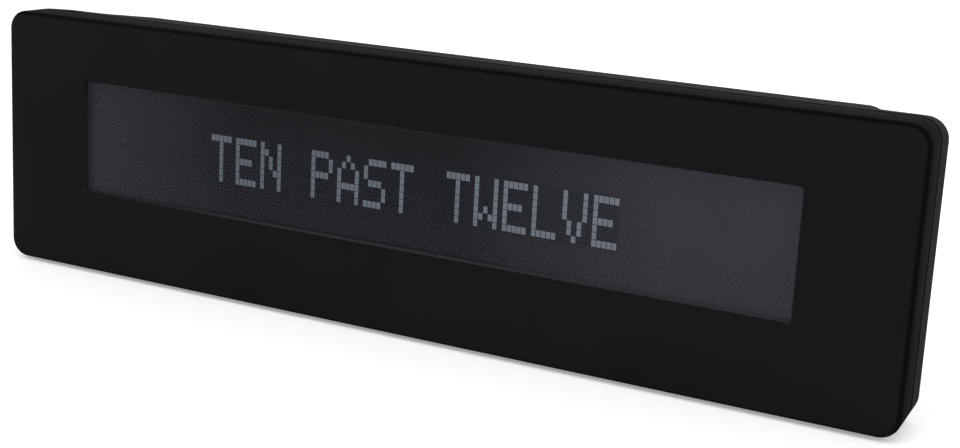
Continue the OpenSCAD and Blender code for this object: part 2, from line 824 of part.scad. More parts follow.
module switch_slider() {
    color("#2b2d30") {
        block(slide_rest_x - slider_w / 2, slide_rest_x + slider_w / 2, slide_top_d - 1.8, key_end_d,
              low_row_z - slider_h / 2, low_row_z + slider_h / 2);
        block(slide_rest_x - slider_w / 2 - 0.5, slide_rest_x + slider_w / 2 + 0.5,
              slide_top_d - 2.1, slide_top_d - 0.8,
              low_row_z - slider_h / 2 - 0.3, low_row_z + slider_h / 2 + 0.3);
    }
}

module buzzer() {
    color("#26282a")
        difference() {
            rod(buzzer_x, low_row_z, buzzer_r, control_back_d, rear_in_d - 0.6);
            rod(buzzer_x, low_row_z, 1, rear_in_d - 1.6, rear_in_d);
        }
}

module inlet_outline(inset) {
    rounded(inlet_w - 2 * inset, inlet_h - 2 * inset, inlet_h / 2 - inset - 0.05);
}

inlet_floor_d = control_back_d + 1.5;

module power_inlet_shell() {
    color("#c4c7ca")
        translate([inlet_x, 0, low_row_z])
            difference() {
                along_y(control_back_d, case_depth - 0.4)
                    inlet_outline(0);
                along_y(inlet_floor_d, case_depth + 1)
                    inlet_outline(inlet_t);
            }
}

module power_inlet_tongue() {
    color("#26282a")
        block(inlet_x - inlet_w / 2 + 1.3, inlet_x + inlet_w / 2 - 1.3, inlet_floor_d, case_depth - 1.2,
              low_row_z - 0.35, low_row_z + 0.35);
}

// ---- Rear cover ----

// Height of the sloping top at a depth
function top_at(d) = top_z - max(d - bezel_depth, 0) * tan(top_slope);

// Half width of the tapered box at a depth
function box_half(d) =
    (box_root_w + (box_rear_w - box_root_w) * (d - rim_depth) / (case_depth - rim_depth)) / 2;

// One section of the cover: its depth, half width, how far it is drawn in, and the wall left outside
function cover_section(d, half, inset, t) =
    [d, half - inset, base_z + t + inset, top_at(d) - t - inset, max(corner_r - t - inset, 0.5)];

// The cover's surface moved inwards by t: rim, ledge, hollow shoulder, tapered box and round edge
function cover_sections(t, start_d) =
    let (rim_r = max(rim_edge_r - t, 0.1), edge_r = rear_edge_r - t, blend_r = shoulder_r + t)
        concat(
            [cover_section(start_d, half_w - t, 0, t)],
            [for (a = [0:30:90])
                let (d = rim_depth - t - rim_r + rim_r * sin(a))
                    cover_section(d, half_w - t - rim_r * (1 - cos(a)), 0, t)],
            [for (i = [0:edge_steps])
                let (a = 90 * i / edge_steps, d = ledge_d + shoulder_r - blend_r * cos(a))
                    cover_section(d, box_half(d) + shoulder_r - blend_r * sin(a), 0, t)],
            [for (i = [0:edge_steps])
                let (a = 90 * i / edge_steps, d = case_depth - t - edge_r + edge_r * sin(a))
                    cover_section(d, box_half(d) - t, edge_r * (1 - cos(a)), t)]);

// The tongue that slides into the front shell
module cover_lip() {
    difference() {
        loft([front_section(cover_d - lip_l, wall + lip_clear),
              front_section(cover_d + 1, wall + lip_clear)]);
        loft([front_section(cover_d - lip_l - 1, wall + lip_clear + lip_w),
              front_section(cover_d + 2, wall + lip_clear + lip_w)]);
        for (sx = [-1, 1], z = case_screw_zs)
            rod(sx * case_screw_x, z, case_pilot_r + boss_wall + lip_clear, cover_d - lip_l - 1, cover_d);
    }
}

// The walls and floor of the battery bay, with two ribs that cradle the cells
module bay_box() {
    difference() {
        block(bay_x0 - bay_wall, bay_x1 + bay_wall, bay_floor_d - bay_wall, rear_in_d + eps,
              bay_z0 - bay_wall, bay_z1 + bay_wall);
        block(bay_x0, bay_x1, bay_floor_d, rear_in_d + 1, bay_z0, bay_z1);
    }
    rib = 2;
    for (x = [bay_x0 + bay_len * 0.3, bay_x0 + bay_len * 0.75])
        difference() {
            block(x - rib / 2, x + rib / 2, bay_floor_d - eps, cell_d - 1, bay_z0 - eps, bay_z1 + eps);
            for (z = cell_zs)
                translate([x - rib, front_y + cell_d, z])
                    rotate([0, 90, 0])
                        cylinder(r = cell_r + 0.1, h = 2 * rib);
        }
}

module cover_posts() {
    for (sx = [-1, 1], z = case_screw_zs)
        rod(sx * case_screw_x, z, case_post_r, cover_d, ledge_d - wall / 2);
    for (x = control_screw_xs, z = control_screw_zs)
        rod(x, z, board_boss_r, control_back_d, rear_in_d + eps);
}

recess_w = (len(key_names) - 1) * key_pitch + key_w + 2 * flange_lap + 1;
recess_h = key_h + 2 * flange_lap + 1;
recess_r = 1.5;
slide_recess_w = slider_w + slide_travel + 4;
slide_recess_h = slider_h + 3.4;

// Thicker wall behind the recesses
module recess_pads() {
    translate([key_x, 0, key_z])
        along_y(pad_in_d, rear_in_d + eps)
            square([recess_w + 3, recess_h + 3], center = true);
    translate([slide_x, 0, low_row_z])
        along_y(pad_in_d, rear_in_d + eps)
            square([slide_recess_w + 2, slide_recess_h + 2], center = true);
}

module rear_openings() {
    translate([key_x, 0, key_z])
        along_y(recess_floor_d, case_depth + 1)
            rounded(recess_w, recess_h, recess_r);
    for (i = [0:len(key_names) - 1])
        translate([key_cx(i), 0, key_z])
            along_y(pad_in_d - 1, case_depth)
                rounded(key_w + 2 * key_gap, key_h + 2 * key_gap, key_r);
    translate([slide_x, 0, low_row_z]) {
        along_y(recess_floor_d, case_depth + 1)
            rounded(slide_recess_w, slide_recess_h, recess_r);
        along_y(pad_in_d - 1, case_depth)
            square([slider_w + slide_travel + 2 * key_gap, slider_h + 2 * key_gap], center = true);
    }
    for (a = [0:60:300])
        rod(buzzer_x + 3 * cos(a), low_row_z + 3 * sin(a), sound_hole_r, rear_in_d - 1, case_depth + 1);
    rod(buzzer_x, low_row_z, sound_hole_r, rear_in_d - 1, case_depth + 1);
    translate([inlet_x, 0, low_row_z])
        along_y(rear_in_d - 1, case_depth + 1)
            inlet_outline(-key_gap);
}

// The door's opening, with the finger scoop beside the latch
module door_opening() {
    block(door_x0, door_x1, rear_in_d - 1, case_depth + 1, door_z0, door_z1);
    scoop_r = 7;
    translate([door_x1, front_y + case_depth + scoop_r - 1.2, bay_cz])
        sphere(r = scoop_r);
}

module rear_cover() {
    color("#3a3a38")
        difference() {
            union() {
                difference() {
                    loft(cover_sections(0, cover_d));
                    loft(cover_sections(wall, cover_d - 1));
                }
                cover_lip();
                bay_box();
                cover_posts();
                recess_pads();
            }
            for (sx = [-1, 1], z = case_screw_zs) {
                rod(sx * case_screw_x, z, case_core_r + 0.35, cover_d - 1, case_seat_d + 1);
                rod(sx * case_screw_x, z, case_head_r + 0.3, case_seat_d, ledge_d + 1);
            }
            for (x = control_screw_xs, z = control_screw_zs)
                rod(x, z, board_pilot_r, control_back_d - 1, control_back_d + control_screw_reach + 0.4);
            rear_openings();
            door_opening();
            for (sx = [-1, 1])
                foot_shape(sx * foot_xs[1], foot_ds[1], foot_r + lip_clear, base_z + foot_pocket);
            for (x = lead_xs)
                lead_slot(x);
        }
}

module case_screws() {
    color("#55585b")
        for (sx = [-1, 1], z = case_screw_zs)
            screw(sx * case_screw_x, z, case_head_r, case_head_h, case_core_r, case_seat_d, case_tip_d);
}

// ---- Battery bay ----

// Cells 0 and 2 have their negative end on the left, cell 1 on the right
function spring_left(i) = i != 1;

// A contact plate on the left (side -1) or right (side 1) wall of the bay, over cells i to j
module contact_plate(side, i, j) {
    x = side < 0 ? bay_x0 : bay_x1 - plate_t;
    block(x, x + plate_t, cell_d - plate_side / 2, cell_d + plate_side / 2,
          cell_zs[i] - plate_side / 2, cell_zs[j] + plate_side / 2);
}

// The dimple that meets a cell's positive tip
module dimple(i) {
    x = spring_left(i) ? bay_x1 - plate_t - dimple_h : bay_x0 + plate_t - eps;
    translate([x, front_y + cell_d, cell_zs[i]])
        rotate([0, 90, 0])
            cylinder(r = 2, h = dimple_h + eps);
}

module contact_plates() {
    color("#c9ccce") {
        contact_plate(-1, 0, 0);
        contact_plate(-1, 1, 2);
        contact_plate(1, 0, 1);
        contact_plate(1, 2, 2);
        for (i = [0:2])
            dimple(i);
    }
}

// A cone-shaped spring's middle line along +X: straight ends, and curls that grow narrower
curl_rings = 8;
function spring_path() =
    let (n = spring_curls * curl_rings, run = spring_l - 2 * spring_wire)
        concat(
            [[0, spring_r1, 0]],
            [for (i = [0:n])
                let (s = i / n, r = spring_r1 + (spring_r2 - spring_r1) * s, a = 360 * i / curl_rings)
                    [spring_wire + run * s, r * cos(a), r * sin(a)]],
            [[spring_l, spring_r2, 0]]);

// Least gap of the spring's wire to itself, over points at least three quarters of a curl apart
function spring_gap() =
    let (p = spring_path(), apart = curl_rings * 3 / 4)
        min([for (i = [0:len(p) - 1 - apart], j = [i + apart:len(p) - 1]) norm(p[i] - p[j])])
            - spring_wire;
echo(least_spring_gap = spring_gap());

module contact_springs() {
    color("#c9ccce")
        for (i = [0:2])
            translate([spring_left(i) ? bay_x0 + plate_t : bay_x1 - plate_t,
                       front_y + cell_d, cell_zs[i]])
                rotate([0, 0, spring_left(i) ? 0 : 180])
                    tube(spring_path(), spring_wire / 2, 6, [1, 0.02, 0.01]);
}

// One cell along +X from its negative face at 0
module cell() {
    can_l = cell_l - tip_l;
    edge = 0.5;
    rotate([0, 90, 0])
        rotate_extrude()
            polygon([[0, 0], [cell_r - edge, 0], [cell_r, edge], [cell_r, can_l - edge],
                     [cell_r - edge, can_l], [tip_r, can_l], [tip_r, cell_l], [0, cell_l]]);
}

module battery_cells() {
    reach = plate_t + spring_l + contact_slack;
    color("#6a6f76")
        for (i = [0:2])
            translate([spring_left(i) ? bay_x0 + reach : bay_x1 - reach, front_y + cell_d, cell_zs[i]])
                rotate([0, 0, spring_left(i) ? 0 : 180])
                    cell();
}

// The leads run from the two end plates, through slots in the bay's floor, to the main board
lead_xs = [bay_x0 + plate_t + lead_d / 2, bay_x1 - plate_t - lead_d / 2];
lead_zs = [cell_zs[0], cell_zs[2]];
lead_top_d = cell_d - plate_side / 2 + 0.6;

module lead_slot(x) {
    i = x == lead_xs[0] ? 0 : 1;
    block(x - lead_d, x + lead_d, bay_floor_d - bay_wall - 1, bay_floor_d + 1,
          lead_zs[i] - lead_d, lead_zs[i] + lead_d);
}

module battery_leads() {
    color("#a32222")
        for (i = [0, 1])
            rod(lead_xs[i], lead_zs[i], lead_d / 2, board_back_d, lead_top_d);
}

// ---- Battery door ----

tab_zs = [bay_cz - tab_pitch / 2, bay_cz + tab_pitch / 2];

module battery_door() {
    x0 = door_x0 + door_gap;
    x1 = door_x1 - door_gap;
    front_d = case_depth - door_t;
    latch_z = bay_cz;
    color("#3a3a38") {
        difference() {
            union() {
                block(hinge_x, x1, front_d, case_depth, door_z0 + door_gap, door_z1 - door_gap);
                translate([hinge_x, front_y + hinge_d, door_z0 + door_gap])
                    cylinder(r = door_t / 2, h = door_z1 - door_z0 - 2 * door_gap);
            }
            for (s = [-1, 1])
                block(x1 - latch_l, x1 + 1, front_d - 1, case_depth + 1,
                      latch_z + s * (latch_h / 2 + latch_slot / 2) - latch_slot / 2,
                      latch_z + s * (latch_h / 2 + latch_slot / 2) + latch_slot / 2);
            for (i = [0:3])
                block(x1 - 2 - i * 1.4, x1 - 1.4 - i * 1.4, case_depth - 0.35, case_depth + 1,
                      latch_z - latch_h / 2 + 2, latch_z + latch_h / 2 - 2);
        }
        for (z = tab_zs) {
            block(door_x0 - tab_reach, x0 + 2, tab_front_d, tab_front_d + tab_t, z - tab_h / 2, z + tab_h / 2);
            block(x0, x0 + 2, tab_front_d, front_d + eps, z - tab_h / 2, z + tab_h / 2);
        }
        block(x1 - 1.2, x1, tab_front_d, front_d + eps, latch_z - latch_h / 2, latch_z + latch_h / 2);
        block(x1 - 1.2, door_x1 + latch_reach, tab_front_d, tab_front_d + tab_t,
              latch_z - latch_h / 2 + 1, latch_z + latch_h / 2 - 1);
    }
}

// ---- Feet ----

// A foot's disc at a place, from the table up to z1
module foot_shape(x, d, r, z1) {
    translate([x, front_y + d, 0])
        cylinder(r = r, h = z1);
}

module rubber_feet() {
    color("#1c1c1c")
        for (sx = [-1, 1], i = [0, 1])
            foot_shape(sx * foot_xs[i], foot_ds[i], foot_r, base_z + foot_pocket);
}

front_bezel();
window_pane();
display_gasket();
front_polariser();
front_glass();
rear_glass();
rear_polariser();
diffuser_sheet();
light_guide();
reflector_sheet();
backlight_boards();
backlight_leds();
display_frame();
contact_strip();
main_board();
board_screws();
driver_chips();
controller_chip();
quartz_crystal();
capacitors();
ribbon_sockets();
ribbon_cable();
control_board();
control_board_screws();
push_switches();
slide_switch();
switch_slider();
buzzer();
power_inlet_shell();
power_inlet_tongue();
rear_cover();
case_screws();
contact_plates();
contact_springs();
battery_cells();
battery_leads();
battery_door();
rubber_feet();
for (i = [0:len(key_names) - 1]) {
    key(i);
    plunger(i);
}
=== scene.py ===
"""The looks of the word clock: its finishes, the shell round the window, the lit reading and the studio."""
import json
import math

import bmesh
import bpy
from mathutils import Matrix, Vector


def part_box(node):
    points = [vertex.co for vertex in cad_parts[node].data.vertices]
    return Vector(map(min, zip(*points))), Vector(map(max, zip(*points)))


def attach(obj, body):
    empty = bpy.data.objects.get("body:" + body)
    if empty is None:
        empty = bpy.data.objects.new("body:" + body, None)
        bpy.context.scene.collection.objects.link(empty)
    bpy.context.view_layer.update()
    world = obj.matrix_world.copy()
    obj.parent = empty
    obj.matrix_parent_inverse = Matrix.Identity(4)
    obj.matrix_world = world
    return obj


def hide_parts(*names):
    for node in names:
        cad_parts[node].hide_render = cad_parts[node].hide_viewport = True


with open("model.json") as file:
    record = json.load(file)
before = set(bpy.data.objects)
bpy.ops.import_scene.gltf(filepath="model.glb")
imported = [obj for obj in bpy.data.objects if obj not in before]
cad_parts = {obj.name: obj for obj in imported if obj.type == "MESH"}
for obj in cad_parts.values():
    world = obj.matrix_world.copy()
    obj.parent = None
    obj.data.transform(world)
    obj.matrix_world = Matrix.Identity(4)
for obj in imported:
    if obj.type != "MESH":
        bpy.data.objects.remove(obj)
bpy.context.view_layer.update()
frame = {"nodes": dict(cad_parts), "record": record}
MM = 0.001


def colour(red, green, blue):
    """A colour as it is read off a screen, 0 to 255, turned into the shader's linear values."""
    def linear(v):
        v /= 255
        return v / 12.92 if v <= 0.04045 else ((v + 0.055) / 1.055) ** 2.4
    return (linear(red), linear(green), linear(blue), 1.0)


WHITE = (1.0, 1.0, 1.0, 1.0)


# ---- The shell's and the window's sizes, and where they lie in the frame ----

SHELL_LOW, SHELL_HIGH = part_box("front_bezel")
PANE_LOW, PANE_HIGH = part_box("window_pane")
FRONT = SHELL_LOW.y

CORNER_R = 4.2 * MM
FRONT_EDGE_R = 1.2 * MM
REAR_EDGE_R = 0.45 * MM
SHELL_WALL = 2 * MM
SHELL_DEPTH = 8.65 * MM
PARTING_GAP = 0.3 * MM
COVER_FRONT = FRONT + SHELL_DEPTH + PARTING_GAP

WINDOW_R = 0.95 * MM
WINDOW_EDGE_R = 0.18 * MM
LIP = 1.9 * MM
PANE_LAP = 2.35 * MM
PANE_FIT = 0.15 * MM
PANE_BEHIND_LIP = 0.01 * MM
FACE_DEPTH = PANE_HIGH.y - FRONT
WINDOW_X = PANE_HIGH.x - PANE_LAP
WINDOW_Z0 = PANE_LOW.z + PANE_LAP
WINDOW_Z1 = PANE_HIGH.z - PANE_LAP

# The front shell's bosses, by the screws that they take: radius of the screw's head, of the pilot
# hole and of the boss, and where the boss ends. The board and the frame's lug lie on the inner ones.
BOARD_AND_LUG = 3.85 * MM
BOSSES = {
    "case_screws": (2.3 * MM, 1.15 * MM, 2.75 * MM, FRONT + SHELL_DEPTH),
    "board_screws": (1.9 * MM, 0.85 * MM, 2.45 * MM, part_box("main_board")[1].y - BOARD_AND_LUG),
}


# ---- Camera ----

CAMERA_PLACE = (0.1499, -0.2831, 0.1020)
CAMERA_TURN = (77.900, -3.059, 26.603)
CAMERA_SENSOR = 36
CAMERA_LENS = 57.92
CAMERA_SHIFT = (-0.01, -0.0547)
CAMERA_NEAREST = 0.01


def place_camera():
    """The main view, from the front right and a little above."""
    camera = bpy.data.cameras.new("camera")
    camera.sensor_width = CAMERA_SENSOR
    camera.lens = CAMERA_LENS
    camera.shift_x, camera.shift_y = CAMERA_SHIFT
    camera.clip_start = CAMERA_NEAREST
    stand = bpy.data.objects.new("camera", camera)
    stand.location = CAMERA_PLACE
    stand.rotation_euler = [math.radians(a) for a in CAMERA_TURN]
    bpy.context.scene.collection.objects.link(stand)
    bpy.context.scene.camera = stand
    bpy.context.scene.view_settings.view_transform = "Standard"


place_camera()


# ---- Small helpers for node trees ----

def add(tree, kind, **values):
    """A node; values set its own settings, or its inputs where the name is an input's."""
    node = tree.nodes.new(kind)
    for name, value in values.items():
        if hasattr(node, name):
            setattr(node, name, value)
        else:
            node.inputs[name.replace("_", " ")].default_value = value
    return node


def feed(tree, socket, value):
    """Links an output to a socket, or sets the socket to a number or a colour."""
    if isinstance(value, bpy.types.NodeSocket):
        tree.links.new(value, socket)
    else:
        socket.default_value = value


def math_node(tree, operation, *values, clamp=False):
    node = add(tree, "ShaderNodeMath", operation=operation, use_clamp=clamp)
    for socket, value in zip(node.inputs, values):
        feed(tree, socket, value)
    return node.outputs[0]


def multiply(tree, first, second):
    return math_node(tree, "MULTIPLY", first, second)


def distance(tree, value, middle):
    """How far a value lies from a middle, on either side."""
    return math_node(tree, "ABSOLUTE", math_node(tree, "SUBTRACT", value, middle))


def spread(tree, value, low, high, to_low=0.0, to_high=1.0):
    """Maps a value from one range to another, held at the ends."""
    node = add(tree, "ShaderNodeMapRange")
    feed(tree, node.inputs["Value"], value)
    for label, end in (("From Min", low), ("From Max", high), ("To Min", to_low), ("To Max", to_high)):
        feed(tree, node.inputs[label], end)
    return node.outputs["Result"]


def blend_colours(tree, mask, first, second):
    """The first colour where the mask is 0 and the second where it is 1."""
    node = add(tree, "ShaderNodeMix", data_type="RGBA")
    feed(tree, node.inputs["Factor"], mask)
    for label, tone in (("A", first), ("B", second)):
        feed(tree, next(s for s in node.inputs if s.name == label and s.type == "RGBA"), tone)
    return next(s for s in node.outputs if s.type == "RGBA")


def object_place(tree):
    return add(tree, "ShaderNodeTexCoord").outputs["Object"]


def face_normal(tree):
    return add(tree, "ShaderNodeNewGeometry").outputs["Normal"]


def along_axes(tree, vector):
    """A vector's X, Y and Z, by name."""
    split = add(tree, "ShaderNodeSeparateXYZ")
    feed(tree, split.inputs[0], vector)
    return split.outputs


def noise(tree, vector, scale, **values):
    """A cloudy pattern, 0 to 1; scale says how fine it is, in clouds per metre."""
    node = add(tree, "ShaderNodeTexNoise", **values)
    feed(tree, node.inputs["Vector"], vector)
    feed(tree, node.inputs["Scale"], scale)
    return node.outputs["Fac"]


def new_group(name, inputs, outputs):
    """A node group; inputs are names with their usual values, outputs are names."""
    group = bpy.data.node_groups.new(name, "ShaderNodeTree")
    for label, value in inputs.items():
        socket = group.interface.new_socket(name=label, in_out="INPUT", socket_type="NodeSocketFloat")
        socket.default_value = value
    for label in outputs:
        group.interface.new_socket(name=label, in_out="OUTPUT", socket_type="NodeSocketFloat")
    given = add(group, "NodeGroupInput").outputs
    out = add(group, "NodeGroupOutput").inputs
    return group, given, out


# ---- Effects that several finishes share ----

def build_moulded_grain():
    """The skin that a mould leaves: a fine grain, and a slow unevenness in its gloss and tone."""
    group, given, out = new_group("moulded grain", {"Grains per metre": 4000, "Patches per metre": 60},
                                  ["Height", "Gloss", "Tone"])
    place = object_place(group)
    grain = noise(group, place, given["Grains per metre"], Detail=2.0, Roughness=0.6)
    patches = noise(group, place, given["Patches per metre"], Detail=3.0, Roughness=0.55)
    feed(group, out["Height"], grain)
    feed(group, out["Gloss"], patches)
    feed(group, out["Tone"], spread(group, patches, 0.3, 0.7))
    return group


def build_edge_rub():
    """Where hands and cloths have rubbed the edges: a mask that follows them in broken lines."""
    group, given, out = new_group("edge rub", {"Width": 0.6 * MM, "Breaks per metre": 400}, ["Mask"])
    rounded = add(group, "ShaderNodeBevel", samples=4)
    feed(group, rounded.inputs["Radius"], given["Width"])
    turn = add(group, "ShaderNodeVectorMath", operation="DOT_PRODUCT")
    feed(group, turn.inputs[0], rounded.outputs["Normal"])
    feed(group, turn.inputs[1], face_normal(group))
    edge = spread(group, turn.outputs["Value"], 0.97, 0.80)
    breaks = noise(group, object_place(group), given["Breaks per metre"], Detail=3.0)
    feed(group, out["Mask"], multiply(group, edge, spread(group, breaks, 0.42, 0.62)))
    return group


def build_dust():
    """A thin dust on the faces that look up."""
    group, given, out = new_group("dust", {"Specks per metre": 900}, ["Mask"])
    facing_up = spread(group, along_axes(group, face_normal(group))["Z"], 0.5, 1.0)
    specks = noise(group, object_place(group), given["Specks per metre"], Detail=6.0, Roughness=0.7)
    feed(group, out["Mask"], multiply(group, facing_up, spread(group, specks, 0.45, 0.8)))
    return group


def build_gap_shade():
    """Painted shade inside narrow gaps: a mask from ambient occlusion that is strongest deep in them."""
    group, given, out = new_group("gap shade", {"Reach": 1.2 * MM}, ["Mask"])
    open_sky = add(group, "ShaderNodeAmbientOcclusion", samples=8)
    feed(group, open_sky.inputs["Distance"], given["Reach"])
    feed(group, out["Mask"], spread(group, open_sky.outputs["AO"], 0.62, 0.30))
    return group


def build_parting_shade():
    """A painted shade along the line where two mouldings meet: a mask that fades with the distance from it
    along Y.
    """
    group, given, out = new_group("parting shade", {"Line": 0.0, "Reach": 1 * MM}, ["Mask"])
    off = distance(group, along_axes(group, object_place(group))["Y"], given["Line"])
    feed(group, out["Mask"], spread(group, off, given["Reach"], 0.0))
    return group


def build_rolled_metal():
    """Sheet or wire metal: fine lines along X and cloudy patches."""
    group, given, out = new_group("rolled metal", {"Lines per metre": 6000}, ["Height", "Gloss", "Tone"])
    place = object_place(group)
    stretch = add(group, "ShaderNodeMapping", Scale=(0.04, 1, 1))
    feed(group, stretch.inputs["Vector"], place)
    lines = noise(group, stretch.outputs[0], given["Lines per metre"], Detail=2.0)
    clouds = noise(group, place, 180.0, Detail=4.0)
    feed(group, out["Height"], lines)
    feed(group, out["Gloss"], lines)
    feed(group, out["Tone"], spread(group, clouds, 0.35, 0.65))
    return group


MOULDED_GRAIN = build_moulded_grain()
EDGE_RUB = build_edge_rub()
DUST = build_dust()
GAP_SHADE = build_gap_shade()
PARTING_SHADE = build_parting_shade()
ROLLED_METAL = build_rolled_metal()


# ---- Finishes ----

DUST_TONE = colour(150, 146, 138)
# The near-black colour of the painted shade in narrow gaps.
PAINTED_GAP_SHADE_TONE = colour(6, 6, 6)
# The near-black colour of the painted shade along the parting line.
PAINTED_PARTING_SHADE_TONE = colour(5, 5, 5)
# Where the painted light on the window's sill goes from darker to lighter, along X.
SILL_PAINTED_LIGHT_X = (-85 * MM, -40 * MM)
# How far the parting line's painted shade reaches on the shell and on the cover.
SHELL_PARTING_REACH = 1.2 * MM
COVER_PARTING_REACH = 0.25 * MM


def start_finish(name, **plain):
    """A material with its shader; plain values, the same all over, go on the shader's own sockets."""
    material = bpy.data.materials.new(name)
    material.use_nodes = True
    shader = next(n for n in material.node_tree.nodes if n.type == "BSDF_PRINCIPLED")
    for label, value in plain.items():
        shader.inputs[label.replace("_", " ")].default_value = value
    return material, material.node_tree, shader.inputs


def place_group(tree, group, **values):
    """A shared effect in a material, with its own values; gives the group's outputs."""
    node = add(tree, "ShaderNodeGroup", node_tree=group)
    for label, value in values.items():
        node.inputs[label.replace("_", " ")].default_value = value
    return node.outputs


def emboss(tree, shader, height, depth):
    """Raises the surface by a height from 0 to 1, times a depth in metres."""
    bump = add(tree, "ShaderNodeBump", Strength=1.0, Distance=depth)
    feed(tree, bump.inputs["Height"], height)
    feed(tree, shader["Normal"], bump.outputs["Normal"])


def moulded(name, dark, light, roughness, grain=4000, depth=2e-6, rub=None, dust=None, painted_gap_shade=None,
            line=None, **plain):
    """Moulded plastic, rubber or card: two close tones, uneven gloss and grain.

    rub is the tone of its rubbed edges with their strength, dust is how strongly dust shows, the gap value
    is how strongly a painted shade darkens narrow gaps, and line is where it meets the next moulding along
    Y, with a painted shade along that line.
    """
    material, tree, shader = start_finish(name, **plain)
    skin = place_group(tree, MOULDED_GRAIN, Grains_per_metre=grain)
    tone = blend_colours(tree, skin["Tone"], dark, light)
    gloss = spread(tree, skin["Gloss"], 0.25, 0.75, roughness * 0.9, min(roughness * 1.1, 1.0))
    if rub:
        rubbed_tone, strength = rub
        worn = multiply(tree, place_group(tree, EDGE_RUB)["Mask"], strength)
        tone = blend_colours(tree, worn, tone, rubbed_tone)
    if dust:
        film = multiply(tree, place_group(tree, DUST)["Mask"], dust)
        tone = blend_colours(tree, film, tone, DUST_TONE)
        gloss = math_node(tree, "ADD", gloss, film, clamp=True)
    # Painted shade: the colour goes near black where ambient occlusion finds a narrow gap.
    if painted_gap_shade:
        shade = multiply(tree, place_group(tree, GAP_SHADE)["Mask"], painted_gap_shade)
        tone = blend_colours(tree, shade, tone, PAINTED_GAP_SHADE_TONE)
    # Painted shade: the colour goes near black at the parting line.
    if line:
        shade = place_group(tree, PARTING_SHADE, Line=line, Reach=COVER_PARTING_REACH)["Mask"]
        tone = blend_colours(tree, shade, tone, PAINTED_PARTING_SHADE_TONE)
    feed(tree, shader["Base Color"], tone)
    feed(tree, shader["Roughness"], gloss)
    emboss(tree, shader, skin["Height"], depth)
    return material


def front_edge_painted_shade(tree, facing):
    """A mask of the rounded front edge along the top and the right side, where a painted shade makes it a
    dark line.
    """
    past_face = spread(tree, facing["Y"], -0.995, -0.93)
    before_side = spread(tree, facing["Y"], -0.30, -0.55)
    rounded = multiply(tree, past_face, before_side)
    outward = spread(tree, math_node(tree, "ADD", facing["X"], facing["Z"]), 0.0, 0.25)
    return multiply(tree, multiply(tree, rounded, outward), 0.6)


def window_edge(tree, place):
    """A mask of the faces round the window's opening, which get a painted light that stands in for the glow
    of the film behind them.
    """
    off_x = math_node(tree, "SUBTRACT", math_node(tree, "ABSOLUTE", place["X"]), WINDOW_X)
    off_z = distance(tree, place["Z"], (WINDOW_Z0 + WINDOW_Z1) / 2)
    off_z = math_node(tree, "SUBTRACT", off_z, (WINDOW_Z1 - WINDOW_Z0) / 2)
    return spread(tree, math_node(tree, "MAXIMUM", off_x, off_z), 0.06 * MM, 0.01 * MM)


def window_edge_painted_light(tree, place, facing):
    """The painted light on those faces: lighter than the face, most on the sill, which is painted darker
    towards its left end.
    """
    sill = blend_colours(tree, spread(tree, place["X"], *SILL_PAINTED_LIGHT_X), colour(32, 33, 35),
                         colour(55, 55, 58))
    return blend_colours(tree, spread(tree, facing["Z"], 0.3, 0.9), colour(37, 38, 40), sill)


def shell_black():
    """The front shell: a smooth face with a soft gloss, and spark-eroded, matt sides."""
    material, tree, shader = start_finish("front shell, black", Specular_IOR_Level=0.03)
    skin = place_group(tree, MOULDED_GRAIN, Grains_per_metre=2500, Patches_per_metre=35)
    facing = along_axes(tree, face_normal(tree))
    place = along_axes(tree, object_place(tree))
    matt = spread(tree, facing["Y"], -0.98, -0.80)
    face_tone = blend_colours(tree, skin["Tone"], colour(20, 21, 23), colour(23, 24, 26))
    side_tone = blend_colours(tree, skin["Tone"], colour(16, 16, 16), colour(18, 18, 18))
    tone = blend_colours(tree, matt, face_tone, side_tone)
    # Painted shade: the rounded front edge along the top and the right side goes near black.
    tone = blend_colours(tree, front_edge_painted_shade(tree, facing), tone, colour(4, 4, 5))
    # Painted light: the faces round the window's opening are lighter than the face.
    tone = blend_colours(tree, window_edge(tree, place), tone, window_edge_painted_light(tree, place, facing))
    # Painted shade: the shell's rear edge goes near black towards the parting line.
    line = place_group(tree, PARTING_SHADE, Line=FRONT + SHELL_DEPTH, Reach=SHELL_PARTING_REACH)["Mask"]
    tone = blend_colours(tree, line, tone, PAINTED_PARTING_SHADE_TONE)
    worn = multiply(tree, place_group(tree, EDGE_RUB, Width=0.4 * MM)["Mask"], 0.12)
    tone = blend_colours(tree, worn, tone, colour(70, 71, 72))
    feed(tree, shader["Base Color"], tone)
    smooth = spread(tree, skin["Gloss"], 0.3, 0.7, 0.42, 0.50)
    feed(tree, shader["Roughness"], spread(tree, matt, 0.0, 1.0, smooth, 0.95))
    emboss(tree, shader, multiply(tree, skin["Height"], matt), 6e-6)
    return material


def metal(name, dark, light, roughness):
    """Rolled or drawn metal in two close tones."""
    material, tree, shader = start_finish(name, Metallic=1.0)
    surface = place_group(tree, ROLLED_METAL)
    feed(tree, shader["Base Color"], blend_colours(tree, surface["Tone"], dark, light))
    feed(tree, shader["Roughness"],
         spread(tree, surface["Gloss"], 0.3, 0.7, roughness * 0.8, roughness * 1.25))
    emboss(tree, shader, surface["Height"], 1e-6)
    return material


def clear(name, tint, roughness, **plain):
    """Glass or clear acrylic, with the slight unevenness of its surface."""
    material, tree, shader = start_finish(name, Transmission_Weight=1.0, Metallic=0.0, **plain)
    skin = place_group(tree, MOULDED_GRAIN, Grains_per_metre=300, Patches_per_metre=40)
    deeper = tuple(c * 0.96 for c in tint[:3]) + (1.0,)
    feed(tree, shader["Base Color"], blend_colours(tree, skin["Tone"], tint, deeper))
    feed(tree, shader["Roughness"],
         spread(tree, skin["Gloss"], 0.25, 0.75, roughness * 0.7, roughness * 1.3))
    emboss(tree, shader, skin["Height"], 1e-7)
    return material


# ---- Small helpers for meshes ----

def circle(r, steps):
    """Points round a circle, as pairs."""
    turn = [math.tau * i / steps for i in range(steps)]
    return [(r * math.cos(a), r * math.sin(a)) for a in turn]


